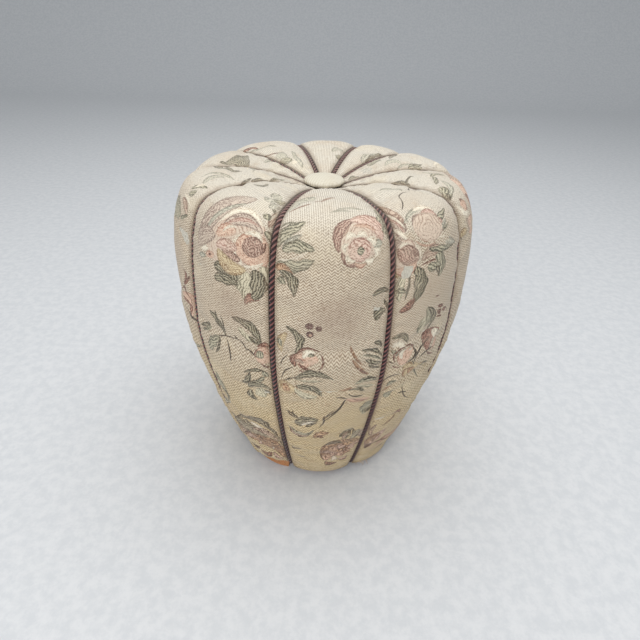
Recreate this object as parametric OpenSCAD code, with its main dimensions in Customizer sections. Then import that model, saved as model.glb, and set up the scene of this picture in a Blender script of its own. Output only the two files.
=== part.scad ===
// Round fluted footstool: ten stuffed flutes run from the hem, over the crown, to a covered button.
// A corded seam lies between each pair of flutes. Inside are a timber frame, webbing and coil springs.
// Millimetres, +Z up, the front of the stool towards -Y. The origin is on the floor, under the button.
// Azimuths are in degrees from -Y, positive towards +X.

/* [Outline] */
// Height of an even flute's crest above the floor
seat_h = 430; // [415:1:450]
// Height of the cover's hem above the floor
hem_z = 8; // [8:0.5:11]
// Radius of the crest line at the hem
foot_r = 136; // [130:1:142]
// Largest radius of the crest line
belly_r = 198; // [191:1:206]
// Height of the largest radius
belly_z = 274; // [270:1:286]
// Radius of the ring where the crest is highest
crown_r = 126; // [117:1:135]
// Radius where the flutes end under the button
eye_r = 22; // [21:0.5:24]
// Drop from the crown to the inner ends of the flutes
eye_drop = 25; // [21:1:29]

/* [Curvature] */
// Lean of the side at the hem, as a share of its whole swell
foot_lean = 0.45; // [0.37:0.01:0.53]
// Straightness of the side above the hem
foot_rise = 0.26; // [0.2:0.01:0.32]
// Straightness of the side below the belly
belly_rise = 0.25; // [0.19:0.01:0.31]
// Fullness of the shoulder, upwards
shoulder_rise = 0.88; // [0.8:0.01:0.94]
// Fullness of the shoulder, outwards
shoulder_reach = 0.84; // [0.76:0.01:0.9]
// Flatness of the crown, inwards
crown_reach = 0.28; // [0.2:0.01:0.36]
// Steepness of the flutes at the button, as shares of the inner span and of the drop
eye_reach = [0.33, 0.66]; // [0.25:0.01:0.75]

/* [Flutes] */
// Depth of the seam line below the crest at the hem
seam_depth_foot = 6.5; // [5.5:0.5:7.5]
// Depth of the seam line half way up the side
seam_depth_side = 6.5; // [5.5:0.5:8.5]
// Depth of the seam line at the shoulder
seam_depth_shoulder = 11; // [9:0.5:13]
// Depth of the seam line at the crown
seam_depth_crown = 11; // [9:0.5:13]
// Depth of the seam line under the button
seam_depth_eye = 4; // [3.5:0.25:5]
// Flatness of a flute's top: a higher value makes it squarer
flute_flatness = 2.2; // [1.8:0.1:2.8]
// Steepness of a flute's flanks: a lower value makes them steeper
flute_flank = 0.6; // [0.5:0.05:0.7]

/* [Cover] */
// Thickness of the woven cover with its lining
cloth_t = 2; // [1.5:0.1:2.4]
// Diameter of the twisted cord in each seam
cord_d = 7; // [6:0.25:7.5]
// Diameter of the covered button
button_d = 53; // [50:1:58]
// Height of the covered button
button_h = 10; // [8:0.5:13]
// Height that has worn off the cover's hem at the front left flute
wear_h = 13; // [8:0.5:15]

/* [Stuffing] */
// Stuffing between the seam line and the side wall at the base
foot_stuffing = 5.5; // [4.5:0.25:7]
// Stuffing between the seam line and the side wall at the belly
belly_stuffing = 26; // [22:0.5:30]
// Flute padding between the seam line and the seat stuffing at the crown
crown_stuffing = 12; // [9:0.5:14]
// Flute padding between the seam line and the seat stuffing at the button
eye_stuffing = 5; // [4.5:0.25:6]
// Least thickness of the seat stuffing, under the button
eye_bed = 2.5; // [2:0.25:4]

/* [Timber] */
// Height of the base blocks
block_h = 18; // [16:0.5:20]
// Radial width of a base block, between the flutes' seams
block_w = 27; // [23:1:35]
// Width of the slot between two blocks, where a cord's tail tucks in
slot_w = 11; // [10:0.25:13]
// Drop of the loosened front left block at its free end
loose_drop = 6.5; // [4:0.25:6.5]
// Thickness of the base board
board_t = 12; // [9:0.5:15]
// Height of the top ring's underside
ring_z = 250; // [235:1:258]
// Thickness of the top ring
ring_t = 18; // [15:0.5:21]
// Radial width of the top ring's underside
ring_w = 54; // [46:1:58]
// Width of the square posts
post_w = 28; // [22:1:32]
// Distance from the board's edge to a post's centre line
post_inset = 24; // [20:0.5:28]

/* [Springing] */
// Width of a webbing strip
webbing_w = 50; // [44:1:54]
// Thickness of a webbing strip
webbing_t = 1.6; // [1.2:0.1:2]
// Length of a strip's end that is fastened down on the top ring
webbing_lap = 45; // [30:1:48]
// Spacing of the webbing strips and of the springs
spring_pitch = 65; // [62:0.5:67]
// Outer diameter of a spring's end turns
spring_d = 56; // [50:0.5:58]
// Outer diameter of a spring's waist
spring_waist_d = 46; // [40:0.5:50]
// Diameter of the spring wire
wire_d = 3.6; // [3:0.1:4.2]
// Turns of a spring
coils = 4; // [3:0.5:4]
// Diameter of the twine that ties the springs and holds the button
twine_d = 2.4; // [1.8:0.1:2.8]
// Diameter of the washer that the button's twine is knotted on
washer_d = 24; // [18:1:30]
// Thickness of that washer
washer_t = 1.5; // [1:0.25:2.5]
// Distance of the spring ties from the axis of the stool
tie_offset = 8; // [6:0.5:10]
// Thickness of the hessian on the sides and over the springs
hessian_t = 1.5; // [1:0.1:1.8]
// Distance that the flat of the hessian over the springs runs out past the crown
scrim_reach = 8; // [2:1:14]
// Distance from the top ring's edge in to the foot of that hessian
scrim_inset = 2; // [1:0.25:3]

/* [Underside] */
// Diameter of a glide
glide_d = 20; // [16:0.5:22]
// Diameter of a glide's nail
nail_d = 2.4; // [2:0.1:3]
// Length of a glide's nail in its block
nail_l = 12; // [9:0.5:14]
// Thickness of the dust cover
dust_t = 1.2; // [0.8:0.1:1.6]
// Width of the dust cover's edge on the blocks
dust_lap = 4; // [2:0.25:4.5]

/* [Hidden] */
FLUTES = 10;

// The ten seams are spaced by hand, so the flutes differ in width as on the real stool
seams = [-16, 24, 60, 98, 134, 162, 196, 235, 268, 306];
even_flute = 360 / FLUTES;
// The flute whose hem is worn away, and the block behind it that has come loose
worn_flute = 9;
glide_blocks = [0, 2, 4, 6, 8];
post_azimuths = [45, 135, 225, 315];

// Clearance between pieces that are pressed together on the real stool
gap = 0.3;
cord_r = cord_d / 2;
// Half width of the slot between two cover panels, which the cord fills
cord_play = 0.2;
flank = cord_r + cord_play;
nail_play = 0.2;
twine_play = 1;

cloth_colour = [0.83, 0.76, 0.62];
cord_colour = [0.33, 0.19, 0.19];
padding_colour = [0.86, 0.83, 0.75];
hair_colour = [0.46, 0.38, 0.30];
timber_colour = [0.72, 0.47, 0.27];
hessian_colour = [0.67, 0.54, 0.36];
webbing_colour = [0.60, 0.50, 0.36];
steel_colour = [0.55, 0.55, 0.56];
twine_colour = [0.78, 0.71, 0.55];
dust_colour = [0.16, 0.15, 0.15];

// Stations along the crest line: 0 is the hem, 1 the belly, 2 the crown and 3 the eye
pad_station = station_at(hem_z + block_h + gap);
stations = [0, pad_station, 0.36, 0.7, 1, 1.2, 1.4, 1.6, 1.8, 2, 2.35, 2.7, 3];
columns = 8;

// Radii and levels of the frame
block_in_r = foot_r - seam_depth_foot - cloth_t - block_w;
board_z = hem_z + block_h;
ring_in_r = timber_r(ring_z) - ring_w;
scrim_r = crown_r + scrim_reach;
board_top = board_z + board_t;
ring_top = ring_z + ring_t;
spring_z = ring_top + 2 * webbing_t + gap;
scrim_z = seat_bed(3)[1] - eye_bed - gap;
upper_tie_z = scrim_z - hessian_t - gap - twine_d;
lower_tie_z = upper_tie_z - gap - twine_d;
spring_h = lower_tie_z - gap - spring_z;
button_z = button_seat();

function two_digits(k) = k < 10 ? str("0", k) : str(k);

function bezier(a, b, c, d, t) =
  a * pow(1 - t, 3) + 3 * b * t * pow(1 - t, 2) + 3 * c * t * t * (1 - t) + d * pow(t, 3);

// Radius and height of the crest line at a station
function crest(s) =
  s <= 1 ? side_curve(s) : s <= 2 ? shoulder_curve(s - 1) : crown_curve(s - 2);

function side_curve(t) =
  let (swell = belly_r - foot_r, rise = belly_z - hem_z)
  bezier(
    [foot_r, hem_z],
    [foot_r + foot_lean * swell, hem_z + foot_rise * rise],
    [belly_r, belly_z - belly_rise * rise],
    [belly_r, belly_z],
    t
  );

function shoulder_curve(t) =
  let (reach = belly_r - crown_r, rise = seat_h - belly_z)
  bezier(
    [belly_r, belly_z],
    [belly_r, belly_z + shoulder_rise * rise],
    [crown_r + shoulder_reach * reach, seat_h],
    [crown_r, seat_h],
    t
  );

function crown_curve(t) =
  let (reach = crown_r - eye_r, eye_z = seat_h - eye_drop)
  bezier(
    [crown_r, seat_h],
    [crown_r - crown_reach * reach, seat_h],
    [eye_r + eye_reach[0] * reach, eye_z + eye_reach[1] * eye_drop],
    [eye_r, eye_z],
    t
  );

// Outward normal of the crest line, turned level at the hem so that the hem lies flat
function crest_normal(s) =
  let (
    step = 0.001,
    d = crest(min(s + step, 3)) - crest(max(s - step, 0)),
    n = [d[1], -d[0] * min(1, s / 0.25)]
  )
  n / norm(n);

// The station on the side where the crest line reaches a height
function station_at(z, lo = 0, hi = 1, tries = 16) =
  let (mid = (lo + hi) / 2)
  tries == 0 ? mid
  : crest(mid)[1] < z ? station_at(z, mid, hi, tries - 1)
  : station_at(z, lo, mid, tries - 1);

// The station on the crown where the crest line comes in to a radius
function station_in(r, lo = 2, hi = 3, tries = 16) =
  let (mid = (lo + hi) / 2)
  tries == 0 ? mid
  : crest(mid)[0] > r ? station_in(r, mid, hi, tries - 1)
  : station_in(r, lo, mid, tries - 1);

function seam_depth(s) = lookup(s, [
  [0, seam_depth_foot],
  [0.75, seam_depth_side],
  [1.4, seam_depth_shoulder],
  [2, seam_depth_crown],
  [3, seam_depth_eye]
]);

// The seam line is also the centre line of the cord
function seam_line(s) = crest(s) - crest_normal(s) * seam_depth(s);

function seam_after(k) = k == FLUTES - 1 ? seams[0] + 360 : seams[k + 1];
function flute_width(k) = seam_after(k) - seams[k];
function widest_flute() = max([for (k = [0:FLUTES - 1]) flute_width(k)]);

// Rise of a flute above its seam line; u runs from -1 to 1 across the flute
function flute_rise(k, s, u) =
  seam_depth(s) * pow(1 - pow(abs(u), flute_flatness), flute_flank) * flute_width(k) / even_flute;

// Share of the width that lies left of a column, closer together at the flanks
function column_share(j) = (1 - cos(180 * j / columns)) / 2;

// Azimuth at a share of the width between the two flanks
function flute_azimuth(k, s, share) =
  let (edge = asin(flank / seam_line(s)[0]))
  seams[k] + edge + (flute_width(k) - 2 * edge) * share;

function across(k, azimuth) = (2 * azimuth - seams[k] - seam_after(k)) / flute_width(k);

function polar(r, azimuth, z) = [r * sin(azimuth), -r * cos(azimuth), z];

// A point that lies a depth under the outside of a flute
function flute_point(k, s, share, depth) =
  let (
    azimuth = flute_azimuth(k, s, share),
    p = seam_line(s) + crest_normal(s) * (flute_rise(k, s, across(k, azimuth)) - depth)
  )
  polar(p[0], azimuth, p[1]);

// Station of the cover's hem: it climbs the worn flute from a little left of its middle
function hem_station(k, share) =
  k != worn_flute ? 0
  : let (climb = min(1, max(0, (share - 0.35) / 0.35)))
    station_at(hem_z + wear_h * climb * climb * (3 - 2 * climb));

function flute_layer(k, from, depth) = [
  for (i = [from:len(stations) - 1])
    [for (j = [0:columns])
      let (share = column_share(j), s = i == 0 ? hem_station(k, share) : stations[i])
      flute_point(k, s, share, depth)]
];

// Outer radius of the hessian wall, a straight cone from the base board to the top ring
function wall_r(z) =
  let (
    low = seam_line(pad_station)[0] - foot_stuffing,
    high = seam_line(1)[0] - belly_stuffing
  )
  low + (high - low) * (z - board_z) / (belly_z - board_z);
function timber_r(z) = wall_r(z) - hessian_t - gap;

// Upper surface of the seat stuffing
function seat_bed(s) =
  seam_line(s) - crest_normal(s) * lookup(s, [
    [1, belly_stuffing],
    [1.6, crown_stuffing],
    [2, crown_stuffing],
    [3, eye_stuffing]
  ]);

// What a pad lies on: the wall below the belly and the seat stuffing above it
function pad_bed(s) =
  s <= 1 ? [wall_r(crest(s)[1]) + gap, crest(s)[1]] : seat_bed(s) + crest_normal(s) * gap;

// The facets of a pad's back are pushed out so that they clear the round bed behind them
function pad_back(k) = [
  for (i = [1:len(stations) - 1])
    [for (j = [0:columns])
      let (p = pad_bed(stations[i]))
      polar(
        p[0] / cos(flute_width(k) * (column_share(5) - column_share(4)) / 2),
        flute_azimuth(k, stations[i], column_share(j)),
        p[1]
      )]
];

// Height of the button's underside, clear of the widest flute
function button_seat() =
  let (s = station_in(button_d / 2))
  crest(s)[1] + seam_depth(s) * (widest_flute() / even_flute - 1) + gap;

function flat(rows) = [for (row = rows) for (p = row) p];

function quad(a, b, c, d) = [[a, b, c], [a, c, d]];

// A closed solid between an outer and an inner grid of the same size
module grid_solid(outer, inner) {
  rows = len(outer) - 1;
  cols = len(outer[0]) - 1;
  size = (rows + 1) * (cols + 1);
  function at(layer, i, j) = layer * size + i * (cols + 1) + j;
  faces = concat(
    [for (i = [0:rows - 1]) for (j = [0:cols - 1])
      for (f = quad(at(0, i, j), at(0, i + 1, j), at(0, i + 1, j + 1), at(0, i, j + 1))) f],
    [for (i = [0:rows - 1]) for (j = [0:cols - 1])
      for (f = quad(at(1, i, j), at(1, i, j + 1), at(1, i + 1, j + 1), at(1, i + 1, j))) f],
    [for (j = [0:cols - 1])
      for (f = quad(at(0, 0, j), at(0, 0, j + 1), at(1, 0, j + 1), at(1, 0, j))) f],
    [for (j = [0:cols - 1])
      for (f = quad(at(0, rows, j + 1), at(0, rows, j), at(1, rows, j), at(1, rows, j + 1))) f],
    [for (i = [0:rows - 1])
      for (f = quad(at(0, i + 1, 0), at(0, i, 0), at(1, i, 0), at(1, i + 1, 0))) f],
    [for (i = [0:rows - 1])
      for (f = quad(at(0, i, cols), at(0, i + 1, cols), at(1, i + 1, cols), at(1, i, cols))) f]
  );
  polyhedron(points = concat(flat(outer), flat(inner)), faces = faces);
}

// A tube swept along a path; each point has a vector that sets how its ring is turned
module tube(path, sides_to, radius, sides) {
  last = len(path) - 1;
  function tangent(i) =
    let (d = path[min(i + 1, last)] - path[max(i - 1, 0)])
    d / norm(d);
  function ring(i) =
    let (
      t = tangent(i),
      flat_side = sides_to[i] - (sides_to[i] * t) * t,
      e1 = flat_side / norm(flat_side),
      e2 = cross(t, e1)
    )
    [for (k = [0:sides - 1])
      path[i] + radius * (cos(360 * k / sides) * e1 + sin(360 * k / sides) * e2)];
  function at(i, k) = i * sides + k % sides;
  faces = concat(
    [for (i = [0:last - 1]) for (k = [0:sides - 1])
      for (f = quad(at(i, k), at(i + 1, k), at(i + 1, k + 1), at(i, k + 1))) f],
    [for (k = [1:sides - 2]) [at(0, 0), at(0, k), at(0, k + 1)]],
    [for (k = [1:sides - 2]) [at(last, 0), at(last, k + 1), at(last, k)]]
  );
  polyhedron(points = flat([for (i = [0:last]) ring(i)]), faces = faces);
}

// One flute's cover, worn through at the hem on the front left flute
module cover_panel(k) {
  color(cloth_colour)
    grid_solid(flute_layer(k, 0, 0), flute_layer(k, 0, cloth_t));
}

module channel_pad(k) {
  color(padding_colour)
    grid_solid(flute_layer(k, 1, cloth_t + gap), pad_back(k));
}

// Cord along one seam, whose tail turns in between two base blocks
module piping_cord(k) {
  hem_seam_r = seam_line(0)[0];
  tail_z = hem_z + cord_r + gap;
  bend = 5;
  tail = [
    [(block_in_r + hem_seam_r) / 2, tail_z],
    [hem_seam_r - bend, tail_z],
    [hem_seam_r, tail_z + bend]
  ];
  seam = [for (i = [1:len(stations) - 1]) seam_line(stations[i])];
  route = [for (p = concat(tail, seam)) polar(p[0], seams[k], p[1])];
  color(cord_colour)
    tube(route, [for (p = route) [cos(seams[k]), sin(seams[k]), 0]], cord_r, 8);
}

// Azimuth of a block's end at a radius, half a slot away from the seam
function block_end(r) = asin(slot_w / 2 / r);

function block_out_r(k, azimuth) =
  seam_line(0)[0] + flute_rise(k, 0, across(k, azimuth)) - cloth_t - gap;

module block_blank(k) {
  steps = 12;
  overcut = 1;
  outer_r = foot_r - seam_depth_foot;
  first = seams[k] + block_end(outer_r);
  last = seam_after(k) - block_end(outer_r);
  // The blank runs a little past the inner radius, where the round cut ends it
  inner_r = 0.95 * block_in_r;
  outside = [
    for (i = [0:steps])
      let (azimuth = first + (last - first) * i / steps)
      polar(block_out_r(k, azimuth), azimuth, 0)
  ];
  inside = [
    polar(inner_r, seam_after(k) - block_end(inner_r), 0),
    polar(inner_r, seams[k] + block_end(inner_r), 0)
  ];
  translate([0, 0, hem_z])
    difference() {
      linear_extrude(block_h)
        polygon([for (p = concat(outside, inside)) [p[0], p[1]]]);
      translate([0, 0, -overcut])
        cylinder(h = block_h + 2 * overcut, r = block_in_r, $fn = 96);
    }
}

glide_r = block_in_r + block_w / 2;
function glide_azimuth(k) = (seams[k] + seam_after(k)) / 2;

module glide_holes() {
  overcut = 1;
  for (k = glide_blocks)
    translate(polar(glide_r, glide_azimuth(k), hem_z - overcut))
      cylinder(h = overcut + nail_l + gap, d = nail_d + nail_play, $fn = 24);
}

// A timber block of the base ring; the loose one hangs from its left end and its right end has dropped
module base_block(k) {
  color(timber_colour)
    if (k == worn_flute) {
      hinge = seams[k] + block_end(glide_r);
      length = glide_r * (flute_width(k) - 2 * block_end(glide_r)) * PI / 180;
      inward = polar(gap, glide_azimuth(k), gap);
      translate(polar(glide_r, hinge, hem_z) - inward)
        rotate(-asin(loose_drop / length), [sin(hinge), -cos(hinge), 0])
          translate(-polar(glide_r, hinge, hem_z))
            block_blank(k);
    } else {
      difference() {
        block_blank(k);
        glide_holes();
      }
    }
}

module base_board() {
  color(timber_colour)
    rotate_extrude($fn = 96)
      polygon([[0, board_z], [timber_r(board_z), board_z], [timber_r(board_top), board_top], [0, board_top]]);
}

// A square post that leans out from the base board to the top ring
module post(azimuth) {
  low_r = timber_r(board_top) - post_inset;
  high_r = (ring_in_r + timber_r(ring_z)) / 2;
  height = ring_z - board_top;
  color(timber_colour)
    rotate([0, 0, azimuth])
      intersection() {
        translate([0, -(low_r + high_r) / 2, (board_top + ring_z) / 2])
          rotate([atan((high_r - low_r) / height), 0, 0])
            cube([post_w, post_w, height + 2 * post_w], center = true);
        translate([-post_w, -2 * high_r, board_top])
          cube([2 * post_w, 2 * high_r, height]);
      }
}

module top_ring() {
  color(timber_colour)
    rotate_extrude($fn = 96)
      polygon([
        [ring_in_r, ring_z],
        [timber_r(ring_z), ring_z],
        [timber_r(ring_top), ring_top],
        [ring_in_r, ring_top]
      ]);
}

module side_hessian() {
  color(hessian_colour)
    rotate_extrude($fn = 96)
      polygon([
        [wall_r(board_z), board_z],
        [wall_r(ring_top), ring_top],
        [wall_r(ring_top) - hessian_t, ring_top],
        [wall_r(board_z) - hessian_t, board_z]
      ]);
}

// Three strips of webbing each way across the top ring
module seat_webbing() {
  reach = ring_in_r + webbing_lap;
  module strips() {
    for (i = [-1:1]) {
      half = sqrt(pow(reach, 2) - pow(abs(i) * spring_pitch + webbing_w / 2, 2));
      translate([-half, i * spring_pitch - webbing_w / 2, 0])
        cube([2 * half, webbing_w, webbing_t]);
    }
  }
  overcut = 1;
  color(webbing_colour)
    difference() {
      union() {
        translate([0, 0, ring_top])
          strips();
        translate([0, 0, ring_top + webbing_t])
          rotate([0, 0, 90])
            strips();
      }
      translate([0, 0, ring_top - overcut])
        cylinder(h = 2 * (webbing_t + overcut), d = twine_d + twine_play, $fn = 24);
    }
}

spring_seats = [
  [0, 0],
  [spring_pitch, 0],
  [0, spring_pitch],
  [-spring_pitch, 0],
  [0, -spring_pitch]
];

// Points of a spring's wire: it is waisted, and its turns open out from both ends
spring_turn = [
  for (i = [0:coils * 8])
    let (
      s = i / (coils * 8),
      r = (spring_d - (spring_d - spring_waist_d) * pow(sin(180 * s), 2) - wire_d) / 2,
      climb = 0.35 * s + 0.65 * s * s * (3 - 2 * s)
    )
    [r * cos(45 * i), r * sin(45 * i), wire_d / 2 + (spring_h - wire_d) * climb]
];
spring_gap = min([
  for (i = [0:len(spring_turn) - 7])
    for (j = [i + 6:len(spring_turn) - 1])
      norm(spring_turn[i] - spring_turn[j])
]) - wire_d;
echo(least_gap_between_spring_turns = spring_gap);

module spring(k) {
  color(steel_colour)
    translate([spring_seats[k][0], spring_seats[k][1], spring_z])
      tube(spring_turn, [for (p = spring_turn) [p[0], p[1], 0]], wire_d / 2, 6);
}

// Two twines that lie over the springs and run down to the top ring
module spring_ties() {
  turn_r = spring_pitch + spring_d / 2 + twine_d;
  end_r = ring_in_r + webbing_lap + twine_d;
  module tie(z) {
    route = [
      [-end_r, tie_offset, ring_top + twine_d],
      [-turn_r, tie_offset, z],
      [turn_r, tie_offset, z],
      [end_r, tie_offset, ring_top + twine_d]
    ];
    tube(route, [for (p = route) [0, 1, 0]], twine_d / 2, 8);
  }
  color(twine_colour) {
    tie(lower_tie_z + twine_d / 2);
    rotate([0, 0, 90])
      tie(upper_tie_z + twine_d / 2);
  }
}

// Hessian over the springs, from the top ring up to a flat top
module spring_hessian() {
  low_r = timber_r(ring_top) - scrim_inset;
  color(hessian_colour)
    rotate_extrude($fn = 96)
      polygon([
        [twine_d, scrim_z],
        [scrim_r, scrim_z],
        [low_r, ring_top],
        [low_r - 1.3 * hessian_t, ring_top],
        [scrim_r - 0.8 * hessian_t, scrim_z - hessian_t],
        [twine_d, scrim_z - hessian_t]
      ]);
}

module seat_stuffing() {
  low_z = ring_top + gap;
  color(hair_colour)
    rotate_extrude($fn = 96)
      polygon(concat(
        [
          [seat_bed(3)[0], scrim_z + gap],
          [scrim_r + gap, scrim_z + gap],
          [timber_r(ring_top) - scrim_inset + gap, low_z],
          [wall_r(low_z), low_z]
        ],
        [for (s = stations) if (s >= 1) seat_bed(s)]
      ));
}

// Domed button covered in plain cloth
module button() {
  rim = 0.35 * button_h;
  color(cloth_colour)
    translate([0, 0, button_z])
      rotate_extrude($fn = 96)
        polygon(concat(
          [[0, 0], [button_d / 2 - rim, 0]],
          [for (a = [-60:30:0]) [button_d / 2 - rim + rim * cos(a), rim + rim * sin(a)]],
          [for (a = [15:15:75]) [button_d / 2 * cos(a), rim + (button_h - rim) * sin(a)]],
          [[0, button_h]]
        ));
}

// Twine from the button down through the seat, knotted on a washer under the webbing
module button_twine() {
  low_z = ring_top - gap - washer_t;
  color(twine_colour) {
    translate([0, 0, low_z])
      cylinder(h = button_z - low_z, d = twine_d, $fn = 24);
    translate([0, 0, low_z])
      cylinder(h = washer_t, d = washer_d, $fn = 48);
  }
}

// Dust cover under the base, cut out round the glides and torn away from the loose block
module dust_cover() {
  overcut = 1;
  from = seams[worn_flute];
  middle = glide_azimuth(worn_flute);
  to = seam_after(worn_flute);
  torn_part = [[0, 0], for (a = [from, middle, to]) 2 * block_in_r * [sin(a), -cos(a)]];
  color(dust_colour)
    translate([0, 0, hem_z - dust_t])
      difference() {
        cylinder(h = dust_t, r = block_in_r + dust_lap, $fn = 96);
        translate([0, 0, -overcut])
          linear_extrude(dust_t + 2 * overcut)
            difference() {
              polygon(torn_part);
              circle(r = block_in_r - dust_lap / 2, $fn = 96);
            }
        for (k = glide_blocks)
          translate(polar(glide_r, glide_azimuth(k), -overcut))
            cylinder(h = dust_t + 2 * overcut, d = glide_d + 2 * gap, $fn = 48);
      }
}

// Nail-on glides, under every other block
module glides() {
  flat_r = 0.35 * glide_d;
  bevel = 0.3 * hem_z;
  color(steel_colour)
    for (k = glide_blocks)
      translate(polar(glide_r, glide_azimuth(k), 0)) {
        rotate_extrude($fn = 48)
          polygon([[0, 0], [flat_r, 0], [glide_d / 2, bevel], [glide_d / 2, hem_z], [0, hem_z]]);
        cylinder(h = hem_z + nail_l, d = nail_d, $fn = 24);
      }
}

for (k = [0:FLUTES - 1]) {
  cover_panel(k);
  channel_pad(k);
  piping_cord(k);
  base_block(k);
}
for (k = [0:3]) {
  post(post_azimuths[k]);
}
for (k = [0:4]) {
  spring(k);
}
base_board();
top_ring();
side_hessian();
seat_webbing();
spring_ties();
spring_hessian();
seat_stuffing();
button();
button_twine();
dust_cover();
glides();
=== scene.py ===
"""The fluted footstool's looks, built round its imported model.

The covers, cords, padding and seat cloths are rebuilt here from the same outline as the model's
source, with their weave, twist and wear. The timber, springs and glides keep their solids.
"""

import math

import bpy
import numpy as np
from mathutils import Matrix, Vector


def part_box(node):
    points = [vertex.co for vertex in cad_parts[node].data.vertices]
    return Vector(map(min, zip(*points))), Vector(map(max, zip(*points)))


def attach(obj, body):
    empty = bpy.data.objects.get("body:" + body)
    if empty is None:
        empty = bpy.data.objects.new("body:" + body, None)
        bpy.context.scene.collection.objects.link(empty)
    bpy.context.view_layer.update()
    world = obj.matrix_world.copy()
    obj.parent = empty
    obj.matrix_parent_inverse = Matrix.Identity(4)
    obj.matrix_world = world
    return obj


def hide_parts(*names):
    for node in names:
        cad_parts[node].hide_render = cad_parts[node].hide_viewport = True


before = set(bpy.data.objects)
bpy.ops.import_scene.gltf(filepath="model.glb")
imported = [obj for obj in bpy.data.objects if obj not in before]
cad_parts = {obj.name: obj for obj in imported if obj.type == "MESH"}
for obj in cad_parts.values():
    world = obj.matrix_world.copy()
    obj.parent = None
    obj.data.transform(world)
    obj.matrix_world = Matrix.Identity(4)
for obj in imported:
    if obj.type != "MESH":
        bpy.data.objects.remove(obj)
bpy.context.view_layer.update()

MM = 0.001
ROOT = "root"

# The outline, in millimetres and degrees, as in the model's source
SEAMS = [-16, 24, 60, 98, 134, 162, 196, 235, 268, 306]
EVEN_FLUTE = 36
SEAT_H, HEM_Z, FOOT_R, BELLY_R, BELLY_Z = 430.0, 8.0, 136.0, 198.0, 274.0
CROWN_R, EYE_R, EYE_DROP = 126.0, 22.0, 25.0
CORD_R, GAP, FLANK = 3.5, 0.3, 3.7
BLOCK_H, BLOCK_IN_R, WEAR_H, WORN_FLUTE = 18.0, 100.5, 13.0, 9
SWELL, RISE, REACH, HEAD, SPAN = (
    BELLY_R - FOOT_R, BELLY_Z - HEM_Z, BELLY_R - CROWN_R, SEAT_H - BELLY_Z, CROWN_R - EYE_R,
)
SIDE = [
    [FOOT_R, HEM_Z], [FOOT_R + 0.45 * SWELL, HEM_Z + 0.26 * RISE],
    [BELLY_R, BELLY_Z - 0.25 * RISE], [BELLY_R, BELLY_Z],
]
SHOULDER = [
    [BELLY_R, BELLY_Z], [BELLY_R, BELLY_Z + 0.88 * HEAD],
    [CROWN_R + 0.84 * REACH, SEAT_H], [CROWN_R, SEAT_H],
]
CROWN = [
    [CROWN_R, SEAT_H], [CROWN_R - 0.28 * SPAN, SEAT_H],
    [EYE_R + 0.33 * SPAN, SEAT_H - EYE_DROP + 0.66 * EYE_DROP], [EYE_R, SEAT_H - EYE_DROP],
]
DEPTHS = [[0, 0.75, 1.4, 2, 3], [6.5, 6.5, 11, 11, 4]]
BEDS = [[1, 1.6, 2, 3], [26, 12, 12, 5]]
FLUTES = range(len(SEAMS))


def bezier(p, t):
    p, t = np.array(p), t[..., None]
    q = 1 - t
    return p[0] * q**3 + 3 * p[1] * t * q**2 + 3 * p[2] * t * t * q + p[3] * t**3


def crest(s):
    s = np.asarray(s, float)
    upper = np.where((s <= 2)[..., None], bezier(SHOULDER, s - 1), bezier(CROWN, s - 2))
    return np.where((s <= 1)[..., None], bezier(SIDE, s), upper)


def unit(v):
    return v / np.maximum(np.linalg.norm(v, axis=-1, keepdims=True), 1e-9)


def crest_normal(s):
    s = np.asarray(s, float)
    d = crest(np.minimum(s + 1e-3, 3)) - crest(np.maximum(s - 1e-3, 0))
    return unit(np.stack([d[..., 1], -d[..., 0] * np.minimum(1, s / 0.25)], -1))


def seam_depth(s):
    return np.interp(s, *DEPTHS)


def seam_line(s):
    return crest(s) - crest_normal(s) * seam_depth(s)[..., None]


def width(k):
    return (SEAMS + [SEAMS[0] + 360])[k + 1] - SEAMS[k]


def polar(r, azimuth, z):
    a = np.radians(azimuth)
    return np.stack([r * np.sin(a), -r * np.cos(a), z + 0 * a], -1)


def flute_azimuth(k, line, share):
    """Azimuths at shares of the width of flute k, between its cords, beside a line of the seam."""
    edge = np.degrees(np.arcsin(FLANK / line[..., 0]))
    return SEAMS[k] + edge + (width(k) - 2 * edge) * share


def flute_point(k, s, share, depth=0.0):
    """Points under the outside of flute k at stations s and shares of its width."""
    line, w = seam_line(s), width(k)
    azimuth = flute_azimuth(k, line, share)
    across = (2 * azimuth - 2 * SEAMS[k] - w) / w
    rise = seam_depth(s) * (1 - np.abs(across) ** 2.2) ** 0.6 * w / EVEN_FLUTE
    p = line + crest_normal(s) * (rise - depth)[..., None]
    return polar(p[..., 0], azimuth, p[..., 1])


def lengths(path):
    """The length along a path to each of its points."""
    return np.r_[0, np.cumsum(np.linalg.norm(np.diff(path, axis=0), axis=1))]


DENSE = np.linspace(0, 3, 3001)
LENGTH = lengths(crest(DENSE))


def station(length):
    """The station that lies a length up the crest line from the hem."""
    return np.interp(length, LENGTH, DENSE)


def up_side(z, values):
    """What values along the crest line are at heights on its lower side."""
    low = DENSE <= 1
    return np.interp(z, crest(DENSE[low])[:, 1], values[low])


def smooth(t):
    t = np.clip(t, 0, 1)
    return t * t * (3 - 2 * t)


def waves(points, scale, seed):
    """Smooth seeded noise, about -1 to 1, whose features are about scale wide."""
    rng, count = np.random.default_rng(seed), 9
    way = rng.normal(size=(count, 3))
    way *= (2 * np.pi / scale / np.linalg.norm(way, axis=1) * rng.uniform(0.5, 1.2, count))[:, None]
    return np.sin(points @ way.T + rng.uniform(0, 2 * np.pi, count)).sum(-1) / math.sqrt(count)


def round_steps(count):
    """Azimuths in even steps all the way round."""
    return np.linspace(0, 360, count, endpoint=False)


def normals(grid):
    """Unit normals of a grid of points that runs up and then across from left to right."""
    return unit(np.cross(np.gradient(grid, axis=1), np.gradient(grid, axis=0)))


def listed(*grids):
    """The points of one or more grids, one after the other."""
    return np.concatenate([g.reshape(-1, 3) for g in grids])


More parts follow.
